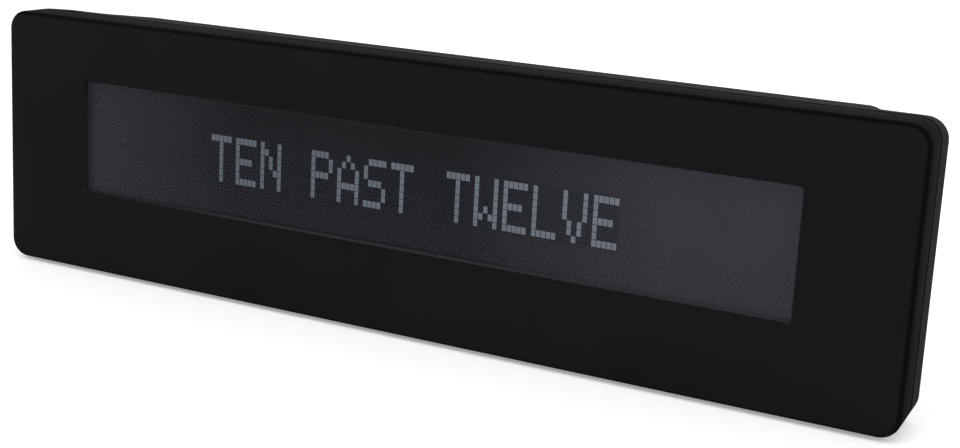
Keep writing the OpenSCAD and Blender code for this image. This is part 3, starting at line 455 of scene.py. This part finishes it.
def join_loops(edit, loops, closed=False):
    """Faces from each loop of points to the next, and back to the first if closed; one point is a tip."""
    for first, second in zip(loops, loops[1:] + (loops[:1] if closed else [])):
        count = max(len(first), len(second))
        for i in range(count):
            j = (i + 1) % count
            corners = (first[i % len(first)], first[j % len(first)],
                       second[j % len(second)], second[i % len(second)])
            edit.faces.new(list(dict.fromkeys(corners)))


def add_plate(edit, x0, x1, y0, y1, z0, z1):
    """A flat block between two corners."""
    corners = [edit.verts.new((x, y, z)) for y in (y0, y1) for z in (z0, z1) for x in (x0, x1)]
    for face in ((0, 1, 3, 2), (4, 6, 7, 5), (0, 4, 5, 1), (2, 3, 7, 6), (0, 2, 6, 4), (1, 5, 7, 3)):
        edit.faces.new([corners[i] for i in face])


def add_prism(edit, outline, y0, y1):
    """A flat shape with straight sides; its outline is a list of X and Z."""
    near = [edit.verts.new((x, y0, z)) for x, z in outline]
    far = [edit.verts.new((x, y1, z)) for x, z in outline]
    edit.faces.new(near)
    edit.faces.new(far[::-1])
    for i in range(len(outline)):
        j = (i + 1) % len(outline)
        edit.faces.new((near[i], far[i], far[j], near[j]))


def add_tube(edit, x, z, outer, inner, y0, y1, steps=24):
    """A tube along Y; an inner radius of 0 makes it a solid rod."""
    ends = [(outer, y0), (outer, y1)]
    if inner:
        ends += [(inner, y1), (inner, y0)]
    loops = [[edit.verts.new((x + u, y, z + v)) for u, v in circle(r, steps)] for r, y in ends]
    if not inner:
        edit.faces.new(loops[0])
        edit.faces.new(loops[1])
    join_loops(edit, loops, closed=inner > 0)


def add_turned(edit, profile, x, way, y, z, steps=48):
    """A shape turned about X, from distances along it and radii: a solid if they start at 0, or a ring."""
    loops = []
    for along, r in profile:
        points = circle(r, steps) if r else [(0, 0)]
        loops.append([edit.verts.new((x + way * along, y + u, z + v)) for u, v in points])
    join_loops(edit, loops, closed=profile[0][1] > 0)


def add_wire(edit, line, r, sides=10):
    """A round wire along a line, with closed ends."""
    never_along = Vector((1, 0.02, 0.01))
    loops = []
    for i, point in enumerate(line):
        along = (line[min(i + 1, len(line) - 1)] - line[max(i - 1, 0)]).normalized()
        across = along.cross(never_along).normalized()
        beside = along.cross(across)
        loops.append([edit.verts.new(point + r * (u * across + v * beside)) for u, v in circle(1, sides)])
    join_loops(edit, loops)
    edit.faces.new(loops[0])
    edit.faces.new(loops[-1][::-1])


def finish_mesh(name, edit, body, material, smooth=None):
    """Turns an edited mesh into a piece that rides on a body; smooth is the sharpest angle left soft."""
    bmesh.ops.recalc_face_normals(edit, faces=edit.faces)
    if smooth is not None:
        for face in edit.faces:
            face.smooth = True
        for edge in edit.edges:
            edge.smooth = len(edge.link_faces) == 2 and edge.calc_face_angle(0) < math.radians(smooth)
    mesh = bpy.data.meshes.new(name)
    edit.to_mesh(mesh)
    edit.free()
    mesh.materials.append(material)
    piece = bpy.data.objects.new(name, mesh)
    bpy.context.scene.collection.objects.link(piece)
    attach(piece, body)
    return piece


# ---- The front shell and its window ----

CORNER_STEPS = 12


def ring_outline(half_x, z0, z1, r):
    """Points round a rectangle with round corners, counter-clockwise seen from the front."""
    points = []
    for cx, cz, start in ((half_x - r, z0 + r, -90), (half_x - r, z1 - r, 0),
                          (r - half_x, z1 - r, 90), (r - half_x, z0 + r, 180)):
        for i in range(CORNER_STEPS + 1):
            a = math.radians(start + 90 * i / CORNER_STEPS)
            points.append((cx + r * math.cos(a), cz + r * math.sin(a)))
    return points


def shell_ring(inset, depth):
    """The shell's outline drawn in by an inset, at a depth behind the face."""
    low_z, high_z = SHELL_LOW.z + inset, SHELL_HIGH.z - inset
    return ring_outline(SHELL_HIGH.x - inset, low_z, high_z, CORNER_R - inset), depth


def window_ring(grow, depth):
    """The window's outline made larger all round, at a depth behind the face."""
    outline = ring_outline(WINDOW_X + grow, WINDOW_Z0 - grow, WINDOW_Z1 + grow, WINDOW_R + grow / 2)
    return outline, depth


def shell_rings():
    """The shell's section as rings: window edge, front edge, rear edge, inside, and the pane's seat."""
    arc = [math.radians(a) for a in range(0, 91, 15)]
    rings = [window_ring(0, LIP)]
    rings += [window_ring(WINDOW_EDGE_R * (1 - math.sin(a)), WINDOW_EDGE_R * (1 - math.cos(a)))
              for a in reversed(arc)]
    rings += [shell_ring(FRONT_EDGE_R * (1 - math.sin(a)), FRONT_EDGE_R * (1 - math.cos(a))) for a in arc]
    rings += [shell_ring(REAR_EDGE_R * (1 - math.cos(a)), SHELL_DEPTH - REAR_EDGE_R * (1 - math.sin(a)))
              for a in arc[::2]]
    rings += [shell_ring(SHELL_WALL, SHELL_DEPTH), shell_ring(SHELL_WALL, FACE_DEPTH)]
    seat = PANE_LAP + PANE_FIT
    return rings + [window_ring(seat, FACE_DEPTH), window_ring(seat, LIP)]


def make_front_shell(material):
    """One closed skin, with the bosses that take the case's and the board's screws."""
    edit = bmesh.new()
    loops = [[edit.verts.new((x, FRONT + depth, z)) for x, z in outline]
             for outline, depth in shell_rings()]
    join_loops(edit, loops, closed=True)
    for node, (head_r, pilot_r, boss_r, end) in BOSSES.items():
        low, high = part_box(node)
        for x in (low.x + head_r, high.x - head_r):
            for z in (low.z + head_r, high.z - head_r):
                add_tube(edit, x, z, boss_r, pilot_r, FRONT + FACE_DEPTH, end)
    shell = finish_mesh("front_shell", edit, "case", material, smooth=40)
    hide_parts("front_bezel")


def make_window_pane(material):
    """The clear sheet behind the lip: thinner than the plain solid, because the lip is deeper here."""
    edit = bmesh.new()
    outline = ring_outline(PANE_HIGH.x, PANE_LOW.z, PANE_HIGH.z, WINDOW_R)
    add_prism(edit, outline, FRONT + LIP + PANE_BEHIND_LIP, FRONT + FACE_DEPTH)
    pane = finish_mesh("clear_window", edit, "case", material)
    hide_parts("window_pane")


# ---- The reading: lit dots on the display film ----

LETTERS = {
    "T": ("#####", "  #  ", "  #  ", "  #  ", "  #  ", "  #  ", "  #  "),
    "E": ("#####", "#    ", "#    ", "#### ", "#    ", "#    ", "#####"),
    "N": ("#   #", "##  #", "# # #", "# # #", "#  ##", "#   #", "#   #"),
    "P": ("#### ", "#   #", "#   #", "#### ", "#    ", "#    ", "#    "),
    "A": ("  #  ", " # # ", "#   #", "#   #", "#####", "#   #", "#   #"),
    "S": (" ####", "#    ", "#    ", " ### ", "    #", "    #", "#### "),
    "W": ("#   #", "#   #", "#   #", "#   #", "# # #", "## ##", "#   #"),
    "L": ("#    ", "#    ", "#    ", "#    ", "#    ", "#    ", "#####"),
    "V": ("#   #", "#   #", "#   #", "#   #", " # # ", " # # ", "  #  "),
}
LETTER_ROWS = 7
LETTER_PITCH = 6
READING = "TEN PAST TWELVE"
READING_X = -0.9 * MM
READING_Z = 31.45 * MM
DOT_STEP_X = 1.0725 * MM
DOT_STEP_Z = 1.48 * MM
DOT_GAP_X = 0.15 * MM
DOT_GAP_Z = 0.12 * MM
DOT_T = 0.02 * MM
DOT_LIFT = 0.001 * MM
FILM_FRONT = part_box("front_polariser")[0].y
READING_HALF_X = len(READING) * LETTER_PITCH / 2 * DOT_STEP_X
READING_LEFT = READING_X - (len(READING) * LETTER_PITCH - 1) / 2 * DOT_STEP_X
READING_TOP = READING_Z + LETTER_ROWS / 2 * DOT_STEP_Z

# Between which places the tones change: along X, or as distances from the reading's middle.
LEFT_TONE_X = (-82 * MM, -40 * MM)
RIGHT_TONE_X = (12 * MM, 56 * MM)
LIT_TONE_X = (-40 * MM, 46 * MM)
BAND_FADE_X = (READING_HALF_X + 0.5 * MM, READING_HALF_X - 1 * MM)
BAND_FADE_Z = (4.2 * DOT_STEP_Z, 3.4 * DOT_STEP_Z)
# How much of a column's and of a row's step a resting dot fills.
DOT_SHARE_X = 0.9
DOT_SHARE_Z = 0.92
FILM_TONES = {
    "middle": colour(17, 17, 20),
    "low": colour(24, 24, 28),
    "left": colour(33, 32, 36),
    "right": colour(38, 37, 42),
    "band": colour(18, 23, 28),
    "gap": colour(12, 13, 15),
}


def lit_places():
    """The middle of each lit dot, as X and Z; a space between words has no dots."""
    for i, letter in enumerate(READING):
        for row, line in enumerate(LETTERS.get(letter, ())):
            for column, mark in enumerate(line):
                if mark == "#":
                    yield (READING_LEFT + (i * LETTER_PITCH + column + 0.5) * DOT_STEP_X,
                           READING_TOP - (row + 0.5) * DOT_STEP_Z)


def make_lit_dots(material):
    """A thin plate on the film for each lit dot."""
    edit = bmesh.new()
    half_x = (DOT_STEP_X - DOT_GAP_X) / 2
    half_z = (DOT_STEP_Z - DOT_GAP_Z) / 2
    for x, z in lit_places():
        add_plate(edit, x - half_x, x + half_x, FILM_FRONT - DOT_T, FILM_FRONT - DOT_LIFT,
                  z - half_z, z + half_z)
    finish_mesh("lit_dots", edit, "case", material)


def reading_band(tree, x, z):
    """A mask of the darker band of resting dots that the reading stands in."""
    across = spread(tree, distance(tree, x, READING_X), *BAND_FADE_X)
    upright = spread(tree, distance(tree, z, READING_Z), *BAND_FADE_Z)
    return multiply(tree, across, upright)


def dot_gaps(tree, x, z):
    """A mask of the thin lines between the columns and the rows of dots."""
    lines = []
    for value, start, step, dot in ((x, READING_LEFT, DOT_STEP_X, DOT_SHARE_X),
                                    (z, READING_TOP, DOT_STEP_Z, DOT_SHARE_Z)):
        steps = math_node(tree, "DIVIDE", math_node(tree, "SUBTRACT", value, start), step)
        lines.append(math_node(tree, "GREATER_THAN", math_node(tree, "FRACT", steps), dot))
    return math_node(tree, "MAXIMUM", *lines)


def display_film():
    """The lit display film: its uneven backlight, the darker band of the reading and the resting dots."""
    material, tree, shader = start_finish("display film", Specular_IOR_Level=0.03, Emission_Strength=1.0)
    place = along_axes(tree, object_place(tree))
    x, z = place["X"], place["Z"]
    skin = place_group(tree, MOULDED_GRAIN, Grains_per_metre=3000, Patches_per_metre=22)
    band = reading_band(tree, x, z)
    tone = FILM_TONES["middle"]
    for mask, name in (
        (multiply(tree, spread(tree, z, READING_Z, WINDOW_Z0), 0.8), "low"),
        (spread(tree, x, *LEFT_TONE_X, 1.0, 0.0), "left"),
        (spread(tree, x, *RIGHT_TONE_X), "right"),
        (multiply(tree, skin["Tone"], 0.10), "right"),
        (multiply(tree, band, 0.4), "band"),
        (multiply(tree, multiply(tree, dot_gaps(tree, x, z), band), 0.25), "gap"),
    ):
        tone = blend_colours(tree, mask, tone, FILM_TONES[name])
    feed(tree, shader["Base Color"], tone)
    feed(tree, shader["Emission Color"], tone)
    feed(tree, shader["Roughness"], spread(tree, skin["Gloss"], 0.3, 0.7, 0.455, 0.465))
    return material


def lit_dot_finish():
    """The cool grey of a dot that lets the backlight through: lighter to the right, and uneven."""
    material, tree, shader = start_finish("lit dots", Specular_IOR_Level=0.1, Roughness=0.5,
                                          Emission_Strength=1.0)
    skin = place_group(tree, MOULDED_GRAIN, Grains_per_metre=1200, Patches_per_metre=90)
    x = along_axes(tree, object_place(tree))["X"]
    tone = blend_colours(tree, spread(tree, x, *LIT_TONE_X), colour(66, 71, 76), colour(82, 87, 92))
    tone = blend_colours(tree, multiply(tree, skin["Tone"], 0.3), tone, colour(86, 90, 94))
    tone = blend_colours(tree, multiply(tree, skin["Height"], 0.25), tone, colour(64, 77, 80))
    feed(tree, shader["Base Color"], tone)
    feed(tree, shader["Emission Color"], tone)
    return material


# ---- The signs on the keys and beside the slide switch ----

SIGN_T = 0.12 * MM
DIAL_R = 1.15 * MM
DIAL_INNER_R = 0.85 * MM
DIAL_HUB_R = 0.35 * MM
ARROW_HALF_W = 1.25 * MM
ARROW_HALF_H = 1.0 * MM
BELL_DOME_R = 0.7 * MM
BELL_DOME_Z = 0.35 * MM
BELL_SIDES = 24
# Half the bell's width and the height there, from the sign's middle.
BELL_WAIST = (0.78 * MM, -0.3 * MM)
BELL_RIM = (1.15 * MM, -0.7 * MM)
CLAPPER_R = 0.22 * MM
CLAPPER_Z = -1.0 * MM
SUN_R = 0.55 * MM
SUN_RAYS = 8
RAY_START = 0.85 * MM
RAY_END = 1.3 * MM
RAY_HALF_W = 0.1 * MM
SWITCH_RECESS = 1.0 * MM
SWITCH_SIGN_OFF = 3.85 * MM
BAR_HALF_W = 0.13 * MM
BAR_HALF_H = 0.8 * MM
OFF_RING_R = 0.62 * MM
OFF_RING_INNER_R = 0.38 * MM


def sign_dial(edit, x, z, y):
    """A ring with a dot in its middle."""
    add_tube(edit, x, z, DIAL_R, DIAL_INNER_R, y, y + SIGN_T)
    add_tube(edit, x, z, DIAL_HUB_R, 0, y, y + SIGN_T)


def sign_arrow(edit, x, z, y, up):
    """A triangle that points up where up is 1, and down where it is -1."""
    outline = [(x - ARROW_HALF_W, z - ARROW_HALF_H * up), (x + ARROW_HALF_W, z - ARROW_HALF_H * up),
               (x, z + ARROW_HALF_H * up)]
    add_prism(edit, outline, y, y + SIGN_T)


def sign_bell(edit, x, z, y):
    """A bell with its clapper below it."""
    (waist_x, waist_z), (rim_x, rim_z) = BELL_WAIST, BELL_RIM
    dome = [(u, BELL_DOME_Z + v) for u, v in circle(BELL_DOME_R, BELL_SIDES)[:BELL_SIDES // 2 + 1]]
    outline = [(-rim_x, rim_z), (rim_x, rim_z), (waist_x, waist_z)] + dome + [(-waist_x, waist_z)]
    add_prism(edit, [(x + u, z + v) for u, v in outline], y, y + SIGN_T)
    add_tube(edit, x, z + CLAPPER_Z, CLAPPER_R, 0, y, y + SIGN_T, steps=12)


def sign_sun(edit, x, z, y):
    """A disc with short rays round it."""
    add_tube(edit, x, z, SUN_R, 0, y, y + SIGN_T)
    for c, s in circle(1, SUN_RAYS):
        ray = [(r * c - side * s, r * s + side * c)
               for r, side in ((RAY_START, -RAY_HALF_W), (RAY_END, -RAY_HALF_W),
                               (RAY_END, RAY_HALF_W), (RAY_START, RAY_HALF_W))]
        add_prism(edit, [(x + u, z + v) for u, v in ray], y, y + SIGN_T)


KEY_SIGNS = {
    "set": sign_dial,
    "up": lambda edit, x, z, y: sign_arrow(edit, x, z, y, 1),
    "down": lambda edit, x, z, y: sign_arrow(edit, x, z, y, -1),
    "alarm": sign_bell,
    "light": sign_sun,
}


def make_key_signs(material):
    """A raised sign on each key: a dial, an arrow up, an arrow down, a bell and a sun."""
    for name, draw in KEY_SIGNS.items():
        low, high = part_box("key_" + name)
        edit = bmesh.new()
        draw(edit, (low.x + high.x) / 2, (low.z + high.z) / 2, high.y)
        finish_mesh(name + "_key_sign", edit, name + "_key", material, smooth=40)


def make_switch_signs(material):
    """A bar for on and a ring for off, raised on the floor of the slide switch's recess."""
    switch_low, switch_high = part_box("slide_switch")
    slider_low, slider_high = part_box("switch_slider")
    middle = (switch_low.x + switch_high.x) / 2
    z = (slider_low.z + slider_high.z) / 2
    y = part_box("rear_cover")[1].y - SWITCH_RECESS
    bar_x = middle + SWITCH_SIGN_OFF
    edit = bmesh.new()
    add_plate(edit, bar_x - BAR_HALF_W, bar_x + BAR_HALF_W, y, y + SIGN_T, z - BAR_HALF_H, z + BAR_HALF_H)
    add_tube(edit, middle - SWITCH_SIGN_OFF, z, OFF_RING_R, OFF_RING_INNER_R, y, y + SIGN_T)
    finish_mesh("switch_signs", edit, "case", material, smooth=40)


# ---- In the battery bay: springs and cells ----

SPRING_WIRE = 0.7 * MM
SPRING_WIDE_R = 3.9 * MM
SPRING_NARROW_R = 2.2 * MM
SPRING_L = 6.4 * MM
SPRING_CURLS = 4
CURL_STEPS = 20

SPRINGS_LOW, SPRINGS_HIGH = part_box("contact_springs")
CELLS_LOW, CELLS_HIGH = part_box("battery_cells")
CELL_R = (CELLS_HIGH.y - CELLS_LOW.y) / 2
CELL_Y = (CELLS_HIGH.y + CELLS_LOW.y) / 2
CELL_L = SPRINGS_HIGH.x - CELLS_LOW.x - SPRING_L
CELL_PITCH = (CELLS_HIGH.z - CELLS_LOW.z - 2 * CELL_R) / 2
SPRING_ON_LEFT = (True, False, True)

BUTTON_L = 1.0 * MM
BUTTON_R = 2.7 * MM
BUTTON_SUNK = 0.3 * MM
# The button's rounded edge: how far below its top, and how far in.
BUTTON_EDGE = ((0.3 * MM, 0), (0.08 * MM, 0.1 * MM), (0, 0.35 * MM))
SEAL_R = 3.4 * MM
SEAL_LEDGE = (0.35 * MM, 3.2 * MM)
CAN_L = CELL_L - BUTTON_L
CAN_STEP = 0.15 * MM
CAN_EDGE = 0.5 * MM
CAN_SHOULDER = 0.6 * MM
DISH_DEPTH = 0.12 * MM
DISH_R = 4.6 * MM
RING_INNER_R = 4.9 * MM
RING_OUTER_R = 5.5 * MM
BEND_R = 5.8 * MM
SLEEVE_T = 0.12 * MM
SLEEVE_TURN_IN = 0.9 * MM
SLEEVE_EDGE_R = 0.5 * MM
SLEEVE_EDGE_MIDDLE = 0.3 * SLEEVE_EDGE_R
SLEEVE_IN_CELL = 0.03 * MM
SLEEVE_IN_CAN = 0.05 * MM
BAND_START = 13 * MM
BAND_W = 9 * MM
BAND_T = 0.06 * MM


def bay_rows():
    """For each cell: its Z, where its spring starts in X, and 1 for a spring on the left, else -1."""
    for i, on_left in enumerate(SPRING_ON_LEFT):
        z = CELLS_LOW.z + CELL_R + i * CELL_PITCH
        yield (z, SPRINGS_LOW.x, 1) if on_left else (z, SPRINGS_HIGH.x, -1)


def spring_line():
    """A cone-shaped spring's middle line along +X: straight ends, and curls that grow narrower."""
    run = SPRING_L - 2 * SPRING_WIRE
    count = SPRING_CURLS * CURL_STEPS
    line = [Vector((0, SPRING_WIDE_R, 0))]
    for i in range(count + 1):
        share = i / count
        a = math.tau * i / CURL_STEPS
        r = SPRING_WIDE_R + (SPRING_NARROW_R - SPRING_WIDE_R) * share
        line.append(Vector((SPRING_WIRE + run * share, r * math.cos(a), r * math.sin(a))))
    return line + [Vector((SPRING_L, SPRING_NARROW_R, 0))]


def make_springs(material):
    """A wound spring for each cell, with its wide end on the contact plate."""
    edit = bmesh.new()
    for z, x, way in bay_rows():
        line = [Vector((x + way * p.x, CELL_Y + way * p.y, z + p.z)) for p in spring_line()]
        add_wire(edit, line, SPRING_WIRE / 2)
    springs = finish_mesh("wound_springs", edit, "case", material, smooth=60)
    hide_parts("contact_springs")


def can_profile():
    """The drawn can: a dished bottom with its ring, the wall, and the button at the other end."""
    bottom = [(DISH_DEPTH, 0), (DISH_DEPTH, DISH_R), (0, RING_INNER_R), (0, RING_OUTER_R),
              (CAN_STEP, BEND_R)]
    wall = [(CAN_STEP, CELL_R - CAN_EDGE), (CAN_SHOULDER, CELL_R - SLEEVE_T),
            (CAN_L - CAN_SHOULDER, CELL_R - SLEEVE_T), (CAN_L - CAN_STEP, CELL_R - CAN_EDGE)]
    ledge_depth, ledge_r = SEAL_LEDGE
    seal = [(CAN_L - CAN_STEP, SEAL_R), (CAN_L - ledge_depth, ledge_r), (CAN_L - BUTTON_SUNK, BUTTON_R)]
    button = [(CELL_L - down, BUTTON_R - inward) for down, inward in BUTTON_EDGE]
    return bottom + wall + seal + button + [(CELL_L, 0)]


def sleeve_profile():
    """The sleeve, which turns over the can's edges at both ends."""
    x0, x1 = SLEEVE_IN_CAN, CAN_L - SLEEVE_IN_CAN
    outer, inner = CELL_R - SLEEVE_IN_CELL, CELL_R - SLEEVE_TURN_IN
    edge, middle = SLEEVE_EDGE_R, SLEEVE_EDGE_MIDDLE
    return [(x0, inner), (x0, outer - edge), (x0 + middle, outer - middle), (x0 + edge, outer),
            (x1 - edge, outer), (x1 - middle, outer - middle), (x1, outer - edge), (x1, inner)]


def band_profile():
    """The light band printed round the sleeve near the button's end."""
    x0 = CAN_L - BAND_START
    return [(x0, CELL_R - BAND_T), (x0, CELL_R), (x0 + BAND_W, CELL_R), (x0 + BAND_W, CELL_R - BAND_T)]


def turn_for_cells(name, profile, material, smooth):
    """The same turned shape on all three cells, as one piece."""
    edit = bmesh.new()
    for z, x, way in bay_rows():
        add_turned(edit, profile, x + way * SPRING_L, way, CELL_Y, z)
    return finish_mesh(name, edit, "case", material, smooth=smooth)


def make_cells(metal_finish, sleeve_finish, band_finish):
    """The drawn cans, the printed sleeves over them, and the sleeves' light bands."""
    cans = turn_for_cells("cell_cans", can_profile(), metal_finish, 35)
    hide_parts("battery_cells")
    turn_for_cells("cell_sleeves", sleeve_profile(), sleeve_finish, 50)
    turn_for_cells("cell_bands", band_profile(), band_finish, 50)


# ---- Feet ----

FOOT_R = 3 * MM
FOOT_STAND = 0.8 * MM
DOME_STEPS = 8
FOOT_SIDES = 40


def make_feet(material):
    """Four rubber feet: a low dome that stands on the table, and the disc that sits in its pocket."""
    low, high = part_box("rubber_feet")
    dome_r = (FOOT_R ** 2 + FOOT_STAND ** 2) / (2 * FOOT_STAND)
    radii = [FOOT_R * i / DOME_STEPS for i in range(1, DOME_STEPS + 1)]
    profile = [(r, low.z + dome_r - math.sqrt(dome_r ** 2 - r ** 2)) for r in radii] + [(FOOT_R, high.z)]
    edit = bmesh.new()
    for x in (low.x + FOOT_R, high.x - FOOT_R):
        for y in (low.y + FOOT_R, high.y - FOOT_R):
            loops = [[edit.verts.new((x, y, low.z))]]
            loops += [[edit.verts.new((x + u, y + v, z)) for u, v in circle(r, FOOT_SIDES)]
                      for r, z in profile]
            join_loops(edit, loops)
            edit.faces.new(loops[-1])
    feet = finish_mesh("domed_feet", edit, "case", material, smooth=30)
    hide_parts("rubber_feet")


# ---- Studio ----

FLOOR_HALF = 6.0
FLOOR_SQUARES = 8
FLOOR_TONE = (0.84, 0.84, 0.84, 1.0)
FLOOR_GLOW = 0.3
SURROUND_LIGHT = 0.55
LAMP_SIZE = 0.7
LAMP_AIM = Vector((0, 0, 0.03))
# Each lamp's name, place and power in watts.
LAMPS = (
    ("key lamp", (-0.30, -0.70, 0.85), 4.3),
    ("fill lamp", (0.7, -0.35, 0.5), 2.0),
    ("back lamp", (0.2, 0.7, 0.7), 2.7),
)


def make_floor():
    """A pale floor that keeps the clock's shadow, and that the camera sees as white."""
    paint, tree, shader = start_finish("floor paint", Roughness=0.9, Specular_IOR_Level=0.1,
                                       Emission_Color=WHITE)
    seen = add(tree, "ShaderNodeLightPath").outputs["Is Camera Ray"]
    feed(tree, shader["Base Color"], blend_colours(tree, seen, FLOOR_TONE, WHITE))
    feed(tree, shader["Emission Strength"], multiply(tree, seen, FLOOR_GLOW))
    edit = bmesh.new()
    bmesh.ops.create_grid(edit, x_segments=FLOOR_SQUARES, y_segments=FLOOR_SQUARES, size=FLOOR_HALF)
    mesh = bpy.data.meshes.new("floor")
    edit.to_mesh(mesh)
    edit.free()
    mesh.materials.append(paint)
    floor = bpy.data.objects.new("floor", mesh)
    bpy.context.scene.collection.objects.link(floor)


def make_surround():
    """A white surround, full to the camera and to reflections, and soft as light on the clock."""
    world = bpy.data.worlds.new("surround")
    bpy.context.scene.world = world
    world.use_nodes = True
    tree = world.node_tree
    surround = next(n for n in tree.nodes if n.type == "BACKGROUND")
    surround.inputs["Color"].default_value = WHITE
    rays = add(tree, "ShaderNodeLightPath").outputs
    reflected = math_node(tree, "MAXIMUM", rays["Is Glossy Ray"], rays["Is Transmission Ray"])
    shown = math_node(tree, "MAXIMUM", rays["Is Camera Ray"], reflected)
    feed(tree, surround.inputs["Strength"], spread(tree, shown, 0.0, 1.0, SURROUND_LIGHT, 1.0))


def make_lamps():
    """Three soft lamps, turned to the clock."""
    for name, place, power in LAMPS:
        lamp = bpy.data.lights.new(name, "AREA")
        lamp.size = LAMP_SIZE
        lamp.energy = power
        stand = bpy.data.objects.new(name, lamp)
        stand.location = place
        stand.rotation_euler = (LAMP_AIM - Vector(place)).to_track_quat("-Z", "Y").to_euler()
        bpy.context.scene.collection.objects.link(stand)


# ---- Dressing the clock ----

def make_finishes():
    """Every finish, by the name of the material slot in the part's record."""
    return {
        "front_plastic": shell_black(),
        # The cover and the keys get a painted shade in narrow gaps, and the cover also gets one along its
        # front edge at the parting line.
        "cover_plastic": moulded("rear cover, matt charcoal", colour(35, 35, 35), colour(39, 39, 38), 0.92,
                                 grain=3500, depth=1.2e-5, rub=(colour(70, 70, 68), 0.25), dust=0.05,
                                 painted_gap_shade=0.9, line=COVER_FRONT, Specular_IOR_Level=0.03),
        "key_plastic": moulded("keys, smooth grey", colour(58, 60, 62), colour(63, 65, 67), 0.5,
                               grain=3000, depth=3e-6, rub=(colour(95, 96, 97), 0.35), painted_gap_shade=0.6,
                               Specular_IOR_Level=0.35),
        "pane": clear("window pane", (0.97, 0.965, 0.98, 1.0), 0.02, IOR=1.1),
        "display_glass": clear("display glass", (0.9, 0.93, 0.92, 1.0), 0.02, IOR=1.52),
        "polariser": display_film(),
        "white_film": moulded("white film", colour(226, 226, 222), colour(236, 236, 233), 0.6, depth=1e-6),
        "clear_acrylic": clear("light guide acrylic", (0.95, 0.97, 0.98, 1.0), 0.05, IOR=1.49),
        "white_plastic": moulded("display frame, white plastic", colour(208, 208, 202),
                                 colour(220, 220, 214), 0.5),
        "ivory_plastic": moulded("ivory plastic", colour(220, 214, 196), colour(230, 225, 208), 0.45),
        "white_board": moulded("white board", colour(222, 224, 220), colour(232, 234, 230), 0.45),
        "green_board": moulded("green solder mask", colour(22, 74, 42), colour(28, 88, 50), 0.35,
                               grain=2500),
        "led": moulded("diode lens", colour(244, 232, 180), colour(250, 242, 205), 0.25, depth=5e-7),
        "foam": moulded("foam", colour(26, 26, 27), colour(38, 38, 39), 0.95, grain=2500, depth=6e-5,
                        Specular_IOR_Level=0.1),
        "elastomer": moulded("pink elastomer", colour(196, 160, 168), colour(208, 176, 182), 0.6,
                             depth=3e-6),
        "zinc_steel": metal("zinc-plated steel", colour(168, 170, 172), colour(190, 192, 195), 0.32),
        "black_steel": metal("blackened steel", colour(52, 53, 55), colour(66, 67, 69), 0.42),
        "nickel": metal("nickel plate", colour(186, 184, 176), colour(206, 204, 196), 0.24),
        "chip_epoxy": moulded("chip epoxy", colour(30, 31, 33), colour(38, 39, 41), 0.6, depth=6e-6),
        "capacitor_sleeve": moulded("capacitor sleeve", colour(44, 52, 76), colour(54, 62, 88), 0.35,
                                    depth=1e-6),
        "ribbon_film": moulded("flat cable film", colour(216, 214, 204), colour(228, 226, 217), 0.35),
        "switch_plastic": moulded("switch housing", colour(34, 35, 37), colour(42, 43, 45), 0.5,
                                  depth=3e-6),
        "cell_sleeve": moulded("cell sleeve", colour(92, 98, 106), colour(104, 110, 118), 0.28, depth=1e-6,
                               Coat_Weight=0.4),
        "lead_insulation": moulded("lead insulation", colour(150, 28, 26), colour(168, 36, 32), 0.4),
        "foot_rubber": moulded("foot rubber", colour(24, 24, 25), colour(30, 30, 31), 0.85, grain=3000,
                               depth=1e-5, dust=0.1),
    }


def dress_nodes(finishes):
    """Puts its finish on each of the part's own nodes."""
    for subpart in frame["record"]["subparts"]:
        for slot in frame["nodes"][subpart["node"]].material_slots:
            slot.material = finishes[subpart["material_slot"]]


def dress_clock():
    """The part's nodes in their finishes, and the pieces that only the looks have."""
    finishes = make_finishes()
    dress_nodes(finishes)
    make_lit_dots(lit_dot_finish())
    make_front_shell(finishes["front_plastic"])
    make_window_pane(finishes["pane"])
    sign_print = moulded("signs, pale print", colour(196, 197, 196), colour(208, 209, 208), 0.6,
                         depth=1e-6)
    make_key_signs(sign_print)
    make_switch_signs(sign_print)
    make_springs(finishes["nickel"])
    band_print = moulded("cell band, pale print", colour(176, 180, 184), colour(188, 192, 196), 0.3,
                         depth=1e-6)
    make_cells(finishes["nickel"], finishes["cell_sleeve"], band_print)
    make_feet(finishes["foot_rubber"])


dress_clock()
make_floor()
make_surround()
make_lamps()
